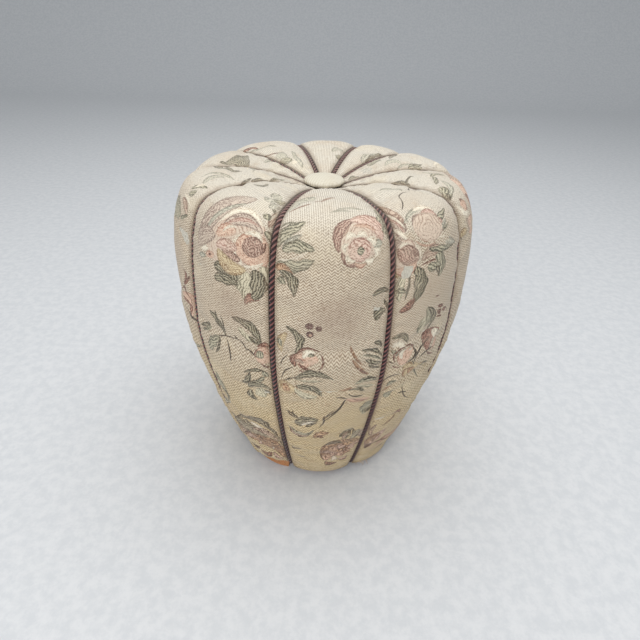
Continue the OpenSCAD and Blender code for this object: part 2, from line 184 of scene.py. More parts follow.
def new_object(name, points, faces, material=None):
    """A smooth mesh object from points in millimetres."""
    mesh = bpy.data.meshes.new(name)
    mesh.from_pydata((np.asarray(points) * MM).tolist(), [], [list(map(int, f)) for f in faces])
    mesh.polygons.foreach_set("use_smooth", [True] * len(mesh.polygons))
    mesh.update()
    if material:
        mesh.materials.append(material)
    made = bpy.data.objects.new(name, mesh)
    bpy.context.scene.collection.objects.link(made)
    return made


def corner_ids(mesh):
    ids = np.zeros(len(mesh.loops), np.int32)
    mesh.loops.foreach_get("vertex_index", ids)
    return ids


def add_uv(mesh, uv):
    """A UV map from a value per point."""
    layer = mesh.uv_layers.new(name="cloth")
    layer.data.foreach_set("uv", np.asarray(uv, np.float32)[corner_ids(mesh)].ravel())


def add_corner_vectors(mesh, name, values):
    made = mesh.attributes.new(name, "FLOAT_VECTOR", "CORNER")
    made.data.foreach_set("vector", np.asarray(values, np.float32).ravel())


def grid_quads(rows, cols, first=0):
    i, j = np.meshgrid(np.arange(rows - 1), np.arange(cols - 1), indexing="ij")
    a = first + (i * cols + j).ravel()
    return np.stack([a, a + 1, a + cols + 1, a + cols], 1)


def wrapped_quads(rows, cols, closed=False):
    """Quads of a grid whose last column meets its first, and its last row too if it is closed."""
    i, j = np.meshgrid(np.arange(rows - (not closed)), np.arange(cols), indexing="ij")
    i, j, up, on = i.ravel(), j.ravel(), (i.ravel() + 1) % rows, (j.ravel() + 1) % cols
    return np.stack([i * cols + j, i * cols + on, up * cols + on, up * cols + j], 1)


def two_sided(quads, size):
    """Faces of a thin solid: quads, the same on the layer behind, and walls round their open edges."""
    edges = np.concatenate([quads[:, [i, (i + 1) % 4]] for i in range(4)])
    a, b = edges[~np.isin(edges @ [2 * size, 1], edges @ [1, 2 * size])].T
    return np.concatenate([quads, quads[:, ::-1] + size, np.stack([b, a, a + size, b + size], 1)])


def shell_faces(rows, cols):
    return two_sided(grid_quads(rows, cols), rows * cols)


def tube(path, radius, sides, ups):
    """Points and faces of a closed tube round a path; radius may change along it and round it."""
    path = np.asarray(path, float)
    along = unit(np.gradient(path, axis=0))
    e1 = unit(ups - (ups * along).sum(1, keepdims=True) * along)
    e2 = np.cross(along, e1)
    a = 2 * np.pi * np.arange(sides) / sides
    r = np.broadcast_to(np.asarray(radius, float), (len(path), sides))[..., None]
    ring = e1[:, None] * np.cos(a)[None, :, None] + e2[:, None] * np.sin(a)[None, :, None]
    points = (path[:, None] + ring * r).reshape(-1, 3)
    ends = [list(range(sides))[::-1], list(range(len(points) - sides, len(points)))]
    return points, wrapped_quads(len(path), sides).tolist() + ends


# Camera, floor and light

SENSOR_MM, PHOTO_PX = 36, 640


def camera_at(place, pitch, yaw, roll, focal_px):
    p, y, r = map(math.radians, (pitch, yaw, roll))
    ahead = Vector((math.sin(y) * math.cos(p), math.cos(y) * math.cos(p), -math.sin(p)))
    right = Vector((math.cos(y), -math.sin(y), 0))
    up = right.cross(ahead)
    right, up = right * math.cos(r) + up * math.sin(r), up * math.cos(r) - right * math.sin(r)
    made = bpy.data.objects.new("camera", bpy.data.cameras.new("camera"))
    made.data.sensor_width, made.data.lens = SENSOR_MM, SENSOR_MM * focal_px / PHOTO_PX
    made.data.clip_start = 0.01
    made.matrix_world = Matrix.Translation(place) @ Matrix((right, up, -ahead)).transposed().to_4x4()
    bpy.context.scene.collection.objects.link(made)
    bpy.context.scene.camera = made


def area_light(name, place, aim, size, power):
    made = bpy.data.objects.new(name, bpy.data.lights.new(name, "AREA"))
    made.data.shape, made.data.size, made.data.size_y = "RECTANGLE", *size
    made.data.energy, made.location = power, place
    made.rotation_euler = (Vector(aim) - Vector(place)).to_track_quat("-Z", "Y").to_euler()
    bpy.context.scene.collection.objects.link(made)


camera_at(place=(0, -0.62362, 0.59947), pitch=33.05097, yaw=0.03095, roll=1.85304, focal_px=480)
bpy.context.scene.view_settings.view_transform = "Standard"


# Materials

def rgb(r, g, b):
    """A colour written as 0 to 255, as the linear light that a socket takes."""
    return tuple(c / 12.92 if c <= 0.04045 else ((c + 0.055) / 1.055) ** 2.4
                 for c in (r / 255, g / 255, b / 255)) + (1.0,)


class Val:
    """A number, vector or colour in a material's node tree, for use in plain sums."""

    def __init__(self, tree, out):
        self.tree, self.out = tree, out

    def wave(self):
        """A triangle wave: 0 at whole numbers and 1 half way between them."""
        return 1 - abs(self.frac() * 2 - 1)

    def ramp(self, a, b, low=0.0, high=1.0):
        """A soft step from low at a to high at b."""
        return self.tree.add("MapRange", {"From Min": a, "From Max": b, "To Min": low, "To Max": high,
                                          "Value": self}, interpolation_type="SMOOTHSTEP")[0]

    def pick(self, rows):
        """A colour and a number from one of several rows, by a whole number from 0."""
        share = 1 / len(rows)
        found = self.tree.add("ValToRGB", {0: (self + 0.5) * share})
        ramp = found[0].out.node.color_ramp
        ramp.interpolation = "CONSTANT"
        for i, (colour, number) in enumerate(rows):
            point = ramp.elements[i] if i < 2 else ramp.elements.new(i * share)
            point.position, point.color = i * share, (*colour[:3], number)
        return found

    def parts(self):
        return self.tree.add("SeparateXYZ", {0: self})


# Sums that take a value on either side of their sign, then what works on one value or on two
SUMS = {"add": "ADD", "sub": "SUBTRACT", "mul": "MULTIPLY", "truediv": "DIVIDE"}
STEPS = {
    "__pow__": "POWER", "__lt__": "LESS_THAN", "__gt__": "GREATER_THAN", "__abs__": "ABSOLUTE",
    "low": "MINIMUM", "high": "MAXIMUM", "sin": "SINE", "cos": "COSINE", "floor": "FLOOR", "frac": "FRACT",
    "root": "SQRT",
}
for sign, operation in SUMS.items():
    setattr(Val, f"__{sign}__", lambda a, b, kind=operation: a.tree.math(kind, a, b))
    setattr(Val, f"__r{sign}__", lambda a, b, kind=operation: a.tree.math(kind, b, a))
for step, operation in STEPS.items():
    setattr(Val, step, lambda a, b=0.0, kind=operation: a.tree.math(kind, a, b))


class Tree:
    """A material under construction."""

    def __init__(self, name, roughness=0.8, sheen=0.0, metallic=0.0, specular=0.5):
        self.mat = bpy.data.materials.new(name)
        self.mat.use_nodes = True
        self.nodes, self.links = self.mat.node_tree.nodes, self.mat.node_tree.links
        self.shader = next(n for n in self.nodes if n.type == "BSDF_PRINCIPLED").inputs
        for socket, value in (("Roughness", roughness), ("Sheen Weight", sheen), ("Metallic", metallic),
                              ("Specular IOR Level", specular)):
            self.shader[socket].default_value = value

    def set(self, socket, value):
        if isinstance(value, Val):
            self.links.new(value.out, socket)
        else:
            socket.default_value = value

    def add(self, kind, values=(), **props):
        """The outputs of a new node, with values on its inputs by name or number."""
        made = self.nodes.new("ShaderNode" + kind)
        for name, value in props.items():
            setattr(made, name, value)
        for name, value in dict(values).items():
            self.set(made.inputs[name], value)
        return [Val(self, out) for out in made.outputs]

    def math(self, kind, a, b=0.0):
        return self.add("Math", {0: a, 1: b}, operation=kind)[0]

    def mix(self, share, a, b):
        """Colours a and b mixed by a share."""
        return self.add("Mix", {0: share, 6: a, 7: b}, data_type="RGBA")[2]

    def tint(self, colour, *layers):
        """A colour under layers of others, each by its share and as 0 to 255."""
        for share, *over in layers:
            colour = self.mix(share, colour, rgb(*over))
        return colour

    def blend(self, share, a, b):
        """Numbers a and b mixed by a share."""
        return a + (b - a) * share

    def vector(self, x, y, z=0.0):
        return self.add("CombineXYZ", {0: x, 1: y, 2: z})[0]

    def attribute(self, name):
        return self.add("Attribute", attribute_name=name)[1]

    def uv(self):
        return self.add("UVMap", uv_map="cloth")[0]

    def place(self):
        """The point in the object's own frame, in metres."""
        return self.add("TexCoord")[3]

    def noise(self, at, scale, detail=2.0, rough=0.5, bend=0.0):
        return self.add("TexNoise", {"Vector": at, "Scale": scale, "Detail": detail, "Roughness": rough,
                                     "Distortion": bend})[0]

    def finish(self, colour, height=None, depth=0.0003, roughness=None, strength=1.0):
        """Connects the surface: height runs from 0 to 1 over a depth in metres."""
        self.set(self.shader["Base Color"], colour)
        if roughness is not None:
            self.set(self.shader["Roughness"], roughness)
        if height is not None:
            bump = self.add("Bump", {"Distance": depth, "Strength": strength, "Height": height})[0]
            self.set(self.shader["Normal"], bump)
        return self.mat


class Group(Tree):
    """A part of a material that is used more than once."""

    def __init__(self, name, inputs, outputs):
        self.group = bpy.data.node_groups.new(name, "ShaderNodeTree")
        self.nodes, self.links = self.group.nodes, self.group.links
        for side, kinds in (("INPUT", inputs), ("OUTPUT", outputs)):
            for i, kind in enumerate(kinds):
                self.group.interface.new_socket(f"{side.lower()}_{i}", in_out=side,
                                                socket_type="NodeSocket" + kind)
        self.inputs = [Val(self, out) for out in self.nodes.new("NodeGroupInput").outputs[:len(inputs)]]
        self.ends = self.nodes.new("NodeGroupOutput").inputs

    def on(self, tree, *values):
        """Uses the group in a tree."""
        return tree.add("Group", dict(enumerate(values)), node_tree=self.group)


# Each style's ground with the share of ink on its inner side, then its ink with the outer share:
# dark, grey and pale leaf, hatched petal, peach, cream, ochre, bud, stem, berry, faded, rust, pink, rose,
# mauve and dark mauve
STYLES = [
    ((178, 168, 142), 0.5, (58, 56, 46), 0.68), ((192, 184, 158), 0.36, (86, 86, 72), 0.6),
    ((216, 206, 178), 0.18, (122, 116, 96), 0.46), ((210, 186, 164), 0.36, (130, 98, 84), 0.56),
    ((224, 192, 168), 0.18, (170, 122, 102), 0.42), ((240, 231, 210), 0.04, (190, 166, 140), 0.22),
    ((214, 194, 156), 0.26, (142, 112, 80), 0.48), ((190, 144, 124), 0.42, (96, 60, 52), 0.72),
    ((84, 72, 60), 1.0, (56, 46, 40), 1.0), ((152, 120, 114), 0.6, (72, 46, 46), 0.85),
    ((206, 200, 180), 0.26, (132, 130, 116), 0.5), ((206, 170, 136), 0.34, (128, 90, 68), 0.6),
    ((224, 196, 178), 0.28, (164, 120, 106), 0.5), ((216, 196, 176), 0.14, (170, 140, 122), 0.3),
    ((206, 188, 170), 0.36, (138, 116, 106), 0.54), ((198, 166, 148), 0.42, (120, 86, 76), 0.58),
]
LAYERS, MARGIN, SPREAD_ROOM = 10, 3.1, 1.15
# What the attributes of the figures hold where no stroke lies
BARE, BARE_KIND = (1e4, 0.0, 0.0), (0.5, 1.0, 0.0)
LEAF_STYLES, ROSE_STYLE, LEAF_WEFT, PETAL_WEFT, LEAF_SPREAD = 2.5, 13, 3.3, 3.3, 1.25


def herringbone(u, v, wander):
    """1 on a raised zigzag line of the weave and 0 in the groove beside it."""
    zig = (u / 6.4 + wander * 0.12).wave()
    return ((v + zig * 3.0 + wander * 0.4) / 3.1).wave()


def stroke_group():
    """A leaf, petal, stem or spot on a bent middle line, hatched like tapestry, over what lies under."""
    t = Group("woven_stroke", ("Color", "Vector", "Vector", "Float", "Float", "Float"), ("Color", "Float"))
    under, at, about, ragged, sway, low = t.inputs
    x, y, bend = at.parts()
    length, wide, style = about.parts()
    share = (x / length.high(1)).high(0).low(1)
    off = y - bend * share * (1 - share) * 4
    leaf = style < LEAF_STYLES
    grow = 1 / low.ramp(300, 60, 1, 1.6)
    veins = ((off + x * 0.3) / LEAF_WEFT * grow + ragged * 0.2 + sway).wave()
    arcs = ((off + x * 0.14) / PETAL_WEFT * grow + ragged * 0.2 + sway * 2).wave()
    middle = x - length / 2
    far = (middle * middle + off * off).root()
    turns = (far / 3.9 * grow + (t.math("ARCTAN2", off, middle) * 3).sin() * 0.5 + ragged * 0.2 + sway).wave()
    line = t.blend(leaf, t.blend(abs(style - ROSE_STYLE) < 0.5, arcs, turns), veins)
    line = line + ragged * 0.5
    half = wide * share ** t.blend(leaf, 0.5, 0.6) * (1 - share) ** t.blend(leaf, 0.5, 0.7)
    half = half * t.blend(leaf, 2, 2.45 * LEAF_SPREAD + (x / 2.4).sin() * 0.4) + ragged * wide.low(5) * 0.26
    tone, inner = style.pick([(rgb(*a), b) for a, b, _, _ in STYLES])
    ink, outer = style.pick([(rgb(*c), d) for _, _, c, d in STYLES])
    ink = t.mix(low.ramp(230, 60, 0, 0.7), ink, rgb(66, 39, 30))
    tone = t.mix(low.ramp(150, 60, 0, 0.3), tone, rgb(176, 124, 92))
    across = off * ((bend > -0.01) * 2 - 1) / half.high(0.3)
    share_inked = t.blend(across.ramp(-0.25, 0.35), inner, outer) + low.ramp(150, 60, 0, 0.12)
    body = t.mix((line < share_inked) * 0.94, tone, ink)
    rim = abs(off).ramp(half - 2.3, half - 1.3) * share_inked.ramp(0.05, 0.6, 0.35, 1) * (0.9 - ragged)
    body = t.mix(rim.low(1) * 0.82, body, t.mix(0.35, ink, rgb(60, 44, 38)))
    inside = (abs(off) < half) * (x > 0) * (x < length)
    t.set(t.ends[0], t.mix(inside, under, body))
    t.set(t.ends[1], inside)
    return t


def tapestry():
    """Faded figured cloth: a herringbone ground and woven flowers, in millimetres of cloth."""
    t = Tree("tapestry_cloth", roughness=0.92, sheen=0.12, specular=0.2)
    u, v, _ = t.uv().parts()
    seam, stain, seed = t.attribute("lie").parts()
    flat = t.vector(u, v)
    threads = t.noise(flat, 0.9, 1.0)
    ragged = (threads - 0.5) * 2.4
    blotch = t.noise(t.vector(u, v, seed * 40), 0.014, 3.0, 0.55)
    fine = t.noise(t.vector(u, v, seed * 40 + 9), 0.06, 3.0, 0.6)
    run = v + (280 - v).high(0) * 0.36
    sway = (t.noise(flat, 0.09, 2.0) - 0.5) * 3
    high, low = v.ramp(385, 455), v.ramp(290, 130)
    relief = t.blend(high * 0.8, herringbone(u, run, ragged), (u / 2.3).wave())
    # The ground, yellower below and lighter on top; the lighter top is painted overhead light, with some
    # bleaching
    pale = t.tint(t.mix(high, rgb(220, 206, 184), rgb(222, 215, 200)), (low, 217, 197, 158))
    deep = t.tint(t.mix(high, rgb(148, 127, 104), rgb(182, 171, 154)), (low, 150, 126, 92))
    ground = t.tint(t.mix((relief + ragged * 0.3).ramp(0.1, 0.75), deep, pale),
                    (blotch.ramp(0.5, 0.7) * 0.32, 192, 172, 148),
                    (blotch.ramp(0.46, 0.3) * 0.3, 226, 212, 182),
                    (fine.ramp(0.55, 0.8) * 0.3, 176, 146, 112))
    # The figures
    drawn, shown, stroke = ground, 0.0, stroke_group()
    for i in range(LAYERS):
        name = f"figure_{i}"
        drawn, inside = stroke.on(t, drawn, t.attribute(name), t.attribute(name + "_kind"), ragged, sway, v)
        shown = inside if i == 0 else shown.high(inside)
    faded = v.ramp(360, 520, 0.95, 0.8) * (1 - t.noise(flat, 0.035, 3.0).ramp(0.5, 0.78) * 0.35)
    # The pale warp shows through the figures and stains lie over all. Beside the seams and down the tucks by
    # the cords the cloth is darker, painted shade with some grime, and so is the hem, painted shade by the
    # floor with some grime
    warp = (u / 3.2 + ragged * 0.2).wave() * (run / 3.1 + (u / 3.2).floor() * 0.5).wave()
    speck = t.noise(t.vector(u, run), 0.36, 2.0, 0.6)
    patch = (stain * (fine.ramp(0.2, 0.6) * 0.5 + 0.5)).ramp(0.15, 0.95)
    colour = t.tint(t.mix(faded, ground, drawn), (warp.ramp(0.4, 0.75) * shown * 0.3, 224, 210, 184),
                    (speck.ramp(0.54, 0.72) * 0.3, 238, 226, 202),
                    (speck.ramp(0.48, 0.28) * t.blend(high, 0.5, 0.26), 108, 86, 68),
                    # stains, then painted shade with some grime beside the seams and in the tucks
                    (patch * 0.46, 152, 128, 112), (seam.ramp(7, 0) * 0.4, 120, 96, 74),
                    # painted shade with some grime along the hem, by the floor
                    (v.ramp(14, 0) * 0.5, 120, 98, 70))
    return t.finish(colour, relief * 0.6 + threads * 0.35 + shown * 0.15, 0.0005, strength=0.8)


def button_cloth():
    """Plain cloth with a rib."""
    t = Tree("button_cloth", roughness=0.92, sheen=0.1, specular=0.2)
    u, v, _ = t.uv().parts()
    threads = t.noise(t.vector(u, v), 0.8, 2.0)
    line = t.blend(0.3, (u / 1.9).wave(), (v / 2.7).wave())
    blotch = t.noise(t.vector(u, v), 0.05, 3.0)
    colour = t.tint(t.mix(line.ramp(0.1, 0.8), rgb(196, 187, 166), rgb(224, 218, 202)),
                    (blotch.ramp(0.5, 0.75) * 0.3, 196, 178, 150), (threads * 0.15, 196, 187, 166))
    return t.finish(colour, line * 0.6 + threads * 0.4, 0.0004)


def cord_material():
    """Three twisted strands: u counts strands round the cord and v is its length in millimetres."""
    t = Tree("twisted_cord", roughness=0.62, sheen=0.25, specular=0.35)
    u, v, _ = t.uv().parts()
    crown = (u * 2 * math.pi).cos() * 0.5 + 0.5
    worn = t.noise(t.vector(u * 0.4, v), 0.06, 3.0, 0.6)
    fibre = t.noise(t.vector(u * 9 + v * 0.55, v * 0.16), 1.0, 3.0)
    yarns = (u * 5 + v * 0.42).wave()
    top = v.ramp(330, 470)
    # The crests are paler, painted highlight with some wear, and darker towards the foot, painted shade under
    # the belly
    light = t.tint(t.mix(top, rgb(140, 84, 78), rgb(146, 114, 104)), (v.ramp(280, 70) * 0.88, 66, 34, 34),
                   (worn.ramp(0.5, 0.8) * 0.6, 180, 130, 118))
    # The flanks darker and the grooves between the strands near black: painted shade
    dark = t.mix(top, rgb(42, 16, 17), rgb(90, 62, 56))
    groove = t.mix(top, rgb(20, 9, 9), rgb(52, 34, 31))
    colour = t.mix(crown.ramp(0.4, 0.02), t.mix(crown.ramp(0.6, 0.99), dark, light), groove)
    colour = t.tint(colour, (yarns * 0.25 * crown, 92, 42, 44))
    return t.finish(colour, crown * 0.4 + yarns * 0.3 + fibre * 0.3, 0.0006)


def timber():
    """Beech and pine scraps: growth rings along x, worn and stained, with open grain."""
    t = Tree("aged_timber", roughness=0.6, specular=0.35)
    x, y, z = t.place().parts()
    bend = t.noise(t.vector(x * 3, y * 12, z * 12), 1.4, 2.0)
    ring = ((y * 1.3 + z * 2.1 + bend * 0.03) * 210).wave()
    grain = t.noise(t.vector(x * 30, y * 700, z * 700), 1.0, 4.0, 0.6)
    pores = t.noise(t.vector(x * 60, y * 1500, z * 1500), 1.0, 1.0)
    blotch = t.noise(t.place(), 22.0, 3.0, 0.6)
    colour = t.tint(rgb(198, 142, 96), (ring.ramp(0.1, 0.9) * 0.6, 162, 104, 66),
                    (grain.ramp(0.45, 0.75) * 0.5, 142, 84, 48), (pores.ramp(0.62, 0.7) * 0.6, 98, 56, 34),
                    (blotch.ramp(0.55, 0.75) * 0.45, 122, 78, 50))
    return t.finish(colour, grain * 0.6 + pores * 0.4, 0.0004, roughness=grain.ramp(0.3, 0.8, 0.5, 0.75))


def steel(name, pale, rust_share):
    t = Tree(name, roughness=0.4, metallic=1.0)
    at = t.place()
    rust = t.noise(at, 190.0, 5.0, 0.65)
    fine = t.noise(at, 1400.0, 2.0)
    spots = rust.ramp(1 - rust_share, 1.05 - rust_share)
    colour = t.tint(pale, (fine * 0.4, 96, 94, 92), (spots, 112, 66, 40))
    t.set(t.shader["Metallic"], 1 - spots * 0.85)
    return t.finish(colour, rust * 0.7 + fine * 0.3, 0.0002, roughness=spots.ramp(0, 1, 0.34, 0.85))


def plain_weave(name, pale, deep, pitch, open_share, stripe=None):
    """A coarse square weave: hessian, webbing or lining, in millimetres of cloth."""
    t = Tree(name, roughness=0.95, sheen=0.1, specular=0.15)
    u, v, _ = t.uv().parts()
    flat = t.vector(u, v)
    slub = t.noise(t.vector(u * 0.15, v), 0.8, 2.0) - 0.5
    slub_b = t.noise(t.vector(u, v * 0.15), 0.8, 2.0) - 0.5
    warp, weft = (u / pitch + slub * 0.4).wave(), (v / pitch + slub_b * 0.4).wave()
    over = ((u / pitch).floor() + (v / pitch).floor()) * 0.5
    over = (over.frac() > 0.25)
    height = t.blend(over, warp, weft)
    holes = ((1 - warp) * (1 - weft)).ramp(0.3, 0.75)
    fuzz = t.noise(flat, 2.6, 3.0, 0.7)
    colour = t.mix(height.ramp(0.05, 0.8), deep, pale)
    colour = t.mix(holes * open_share, colour, rgb(30, 24, 18))
    colour = t.mix(fuzz.ramp(0.5, 0.9) * 0.35, colour, pale)
    colour = t.mix(t.noise(flat, 0.02, 3.0).ramp(0.5, 0.8) * 0.4, colour, deep)
    if stripe:
        colour = t.mix((abs(abs(v) - 17) < 2.2) * height.ramp(0.2, 0.6) * 0.85, colour, stripe)
    return t.finish(colour, height * 0.7 + fuzz * 0.3 - holes * 0.4, 0.0006)


def fibres(name, pale, deep, scale, stretch):
    """Matted fibre: cotton wadding, or curled hair."""
    t = Tree(name, roughness=1.0, sheen=0.3, specular=0.1)
    x, y, z = t.place().parts()
    at = t.vector(x, y, z * stretch)
    curl = t.noise(at, scale, 6.0, 0.72, 1.6)
    clump = t.noise(at, scale * 0.12, 3.0, 0.6)
    strands = abs(t.noise(at, scale * 0.7, 3.0, 0.6, 2.5) - 0.5) * 6
    colour = t.mix(curl.ramp(0.3, 0.7), deep, pale)
    colour = t.mix(clump.ramp(0.45, 0.75) * 0.4, colour, deep)
    colour = t.mix(strands.ramp(0.4, 0.0) * 0.5, colour, pale)
    return t.finish(colour, curl * 0.6 + strands.low(1) * 0.4, 0.0014)


def twine_material(name, pale, deep):
    t = Tree(name, roughness=0.9, sheen=0.2, specular=0.2)
    u, v, _ = t.uv().parts()
    crown = (u * 2 * math.pi).cos() * 0.5 + 0.5
    fibre = t.noise(t.vector(u * 8 + v, v * 0.3), 1.3, 3.0, 0.7)
    # Paler crests and darker sides between the strands: painted shade
    colour = t.mix(crown.ramp(0.1, 0.8), deep, pale)
    colour = t.mix(fibre.ramp(0.4, 0.7) * 0.4, colour, deep)
    return t.finish(colour, crown * 0.6 + fibre * 0.4, 0.0003)


TAPESTRY = tapestry()
BUTTON_CLOTH = button_cloth()
CORD = cord_material()
TIMBER = timber()
GLIDE_STEEL = steel("glide_steel", rgb(170, 168, 164), 0.45)
SPRING_STEEL = steel("spring_steel", rgb(150, 146, 140), 0.52)
HESSIAN = plain_weave("hessian", rgb(190, 154, 104), rgb(132, 102, 64), 1.5, 0.8)
WEBBING = plain_weave("webbing", rgb(172, 146, 104), rgb(120, 98, 66), 1.8, 0.3, rgb(96, 48, 40))
DUST_CLOTH = plain_weave("dust_cloth", rgb(62, 58, 56), rgb(30, 28, 28), 0.7, 0.3)
WADDING = fibres("cotton_wadding", rgb(232, 226, 210), rgb(196, 186, 164), 420.0, 0.5)
HAIR = fibres("curled_hair", rgb(136, 110, 84), rgb(66, 50, 38), 380.0, 0.8)
TWINE = twine_material("twine", rgb(208, 188, 146), rgb(140, 118, 80))
WASHER = fibres("fibre_washer", rgb(150, 112, 80), rgb(92, 64, 44), 700.0, 1.0)
THREAD = plain_weave("loose_thread", rgb(222, 206, 178), rgb(150, 116, 96), 5.0, 0.1)


def stage_room():
    """Pale floor that sweeps up into a wall behind."""
    near, back, bend, top, half = -5.0, 3.2, 1.4, 4.5, 9.0
    line = [(y, 0.0) for y in (near, -1.0, 0.0, 1.0)]
    line += [(back + bend * math.sin(a), bend * (1 - math.cos(a))) for a in np.linspace(0, np.pi / 2, 17)]
    line.append((back + bend, top))
    points = [(x, y, z) for y, z in line for x in (-half, half)]
    t = Tree("studio_floor", roughness=0.9, specular=0.2)
    speck = t.noise(t.place(), 60.0, 4.0, 0.7)
    colour = t.mix(speck.ramp(0.35, 0.65), rgb(206, 208, 210), rgb(216, 217, 218))
    floor = t.finish(colour, speck, 0.0002)
    new_object("studio", np.array(points) / MM, grid_quads(len(line), 2), floor)


stage_room()
world = bpy.data.worlds.new("studio_light")
world.use_nodes = True
sky, strength = world.node_tree.nodes["Background"].inputs[:2]
sky.default_value, strength.default_value = rgb(232, 236, 240), 0.56
bpy.context.scene.world = world
area_light("overhead", place=(0.15, 0.25, 2.3), aim=(0, 0, 0.2), size=(2.6, 2.2), power=36)
area_light("front_fill", place=(-0.7, -2.2, 1.5), aim=(0, 0, 0.2), size=(2.2, 1.6), power=32)


def finished(piece, slot, *nodes):
    """What every piece gets: a body to ride on, and the model's nodes that it stands for are hidden. The slot
    is not used.
    """
    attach(piece, ROOT)
    if nodes:
        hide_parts(*nodes)


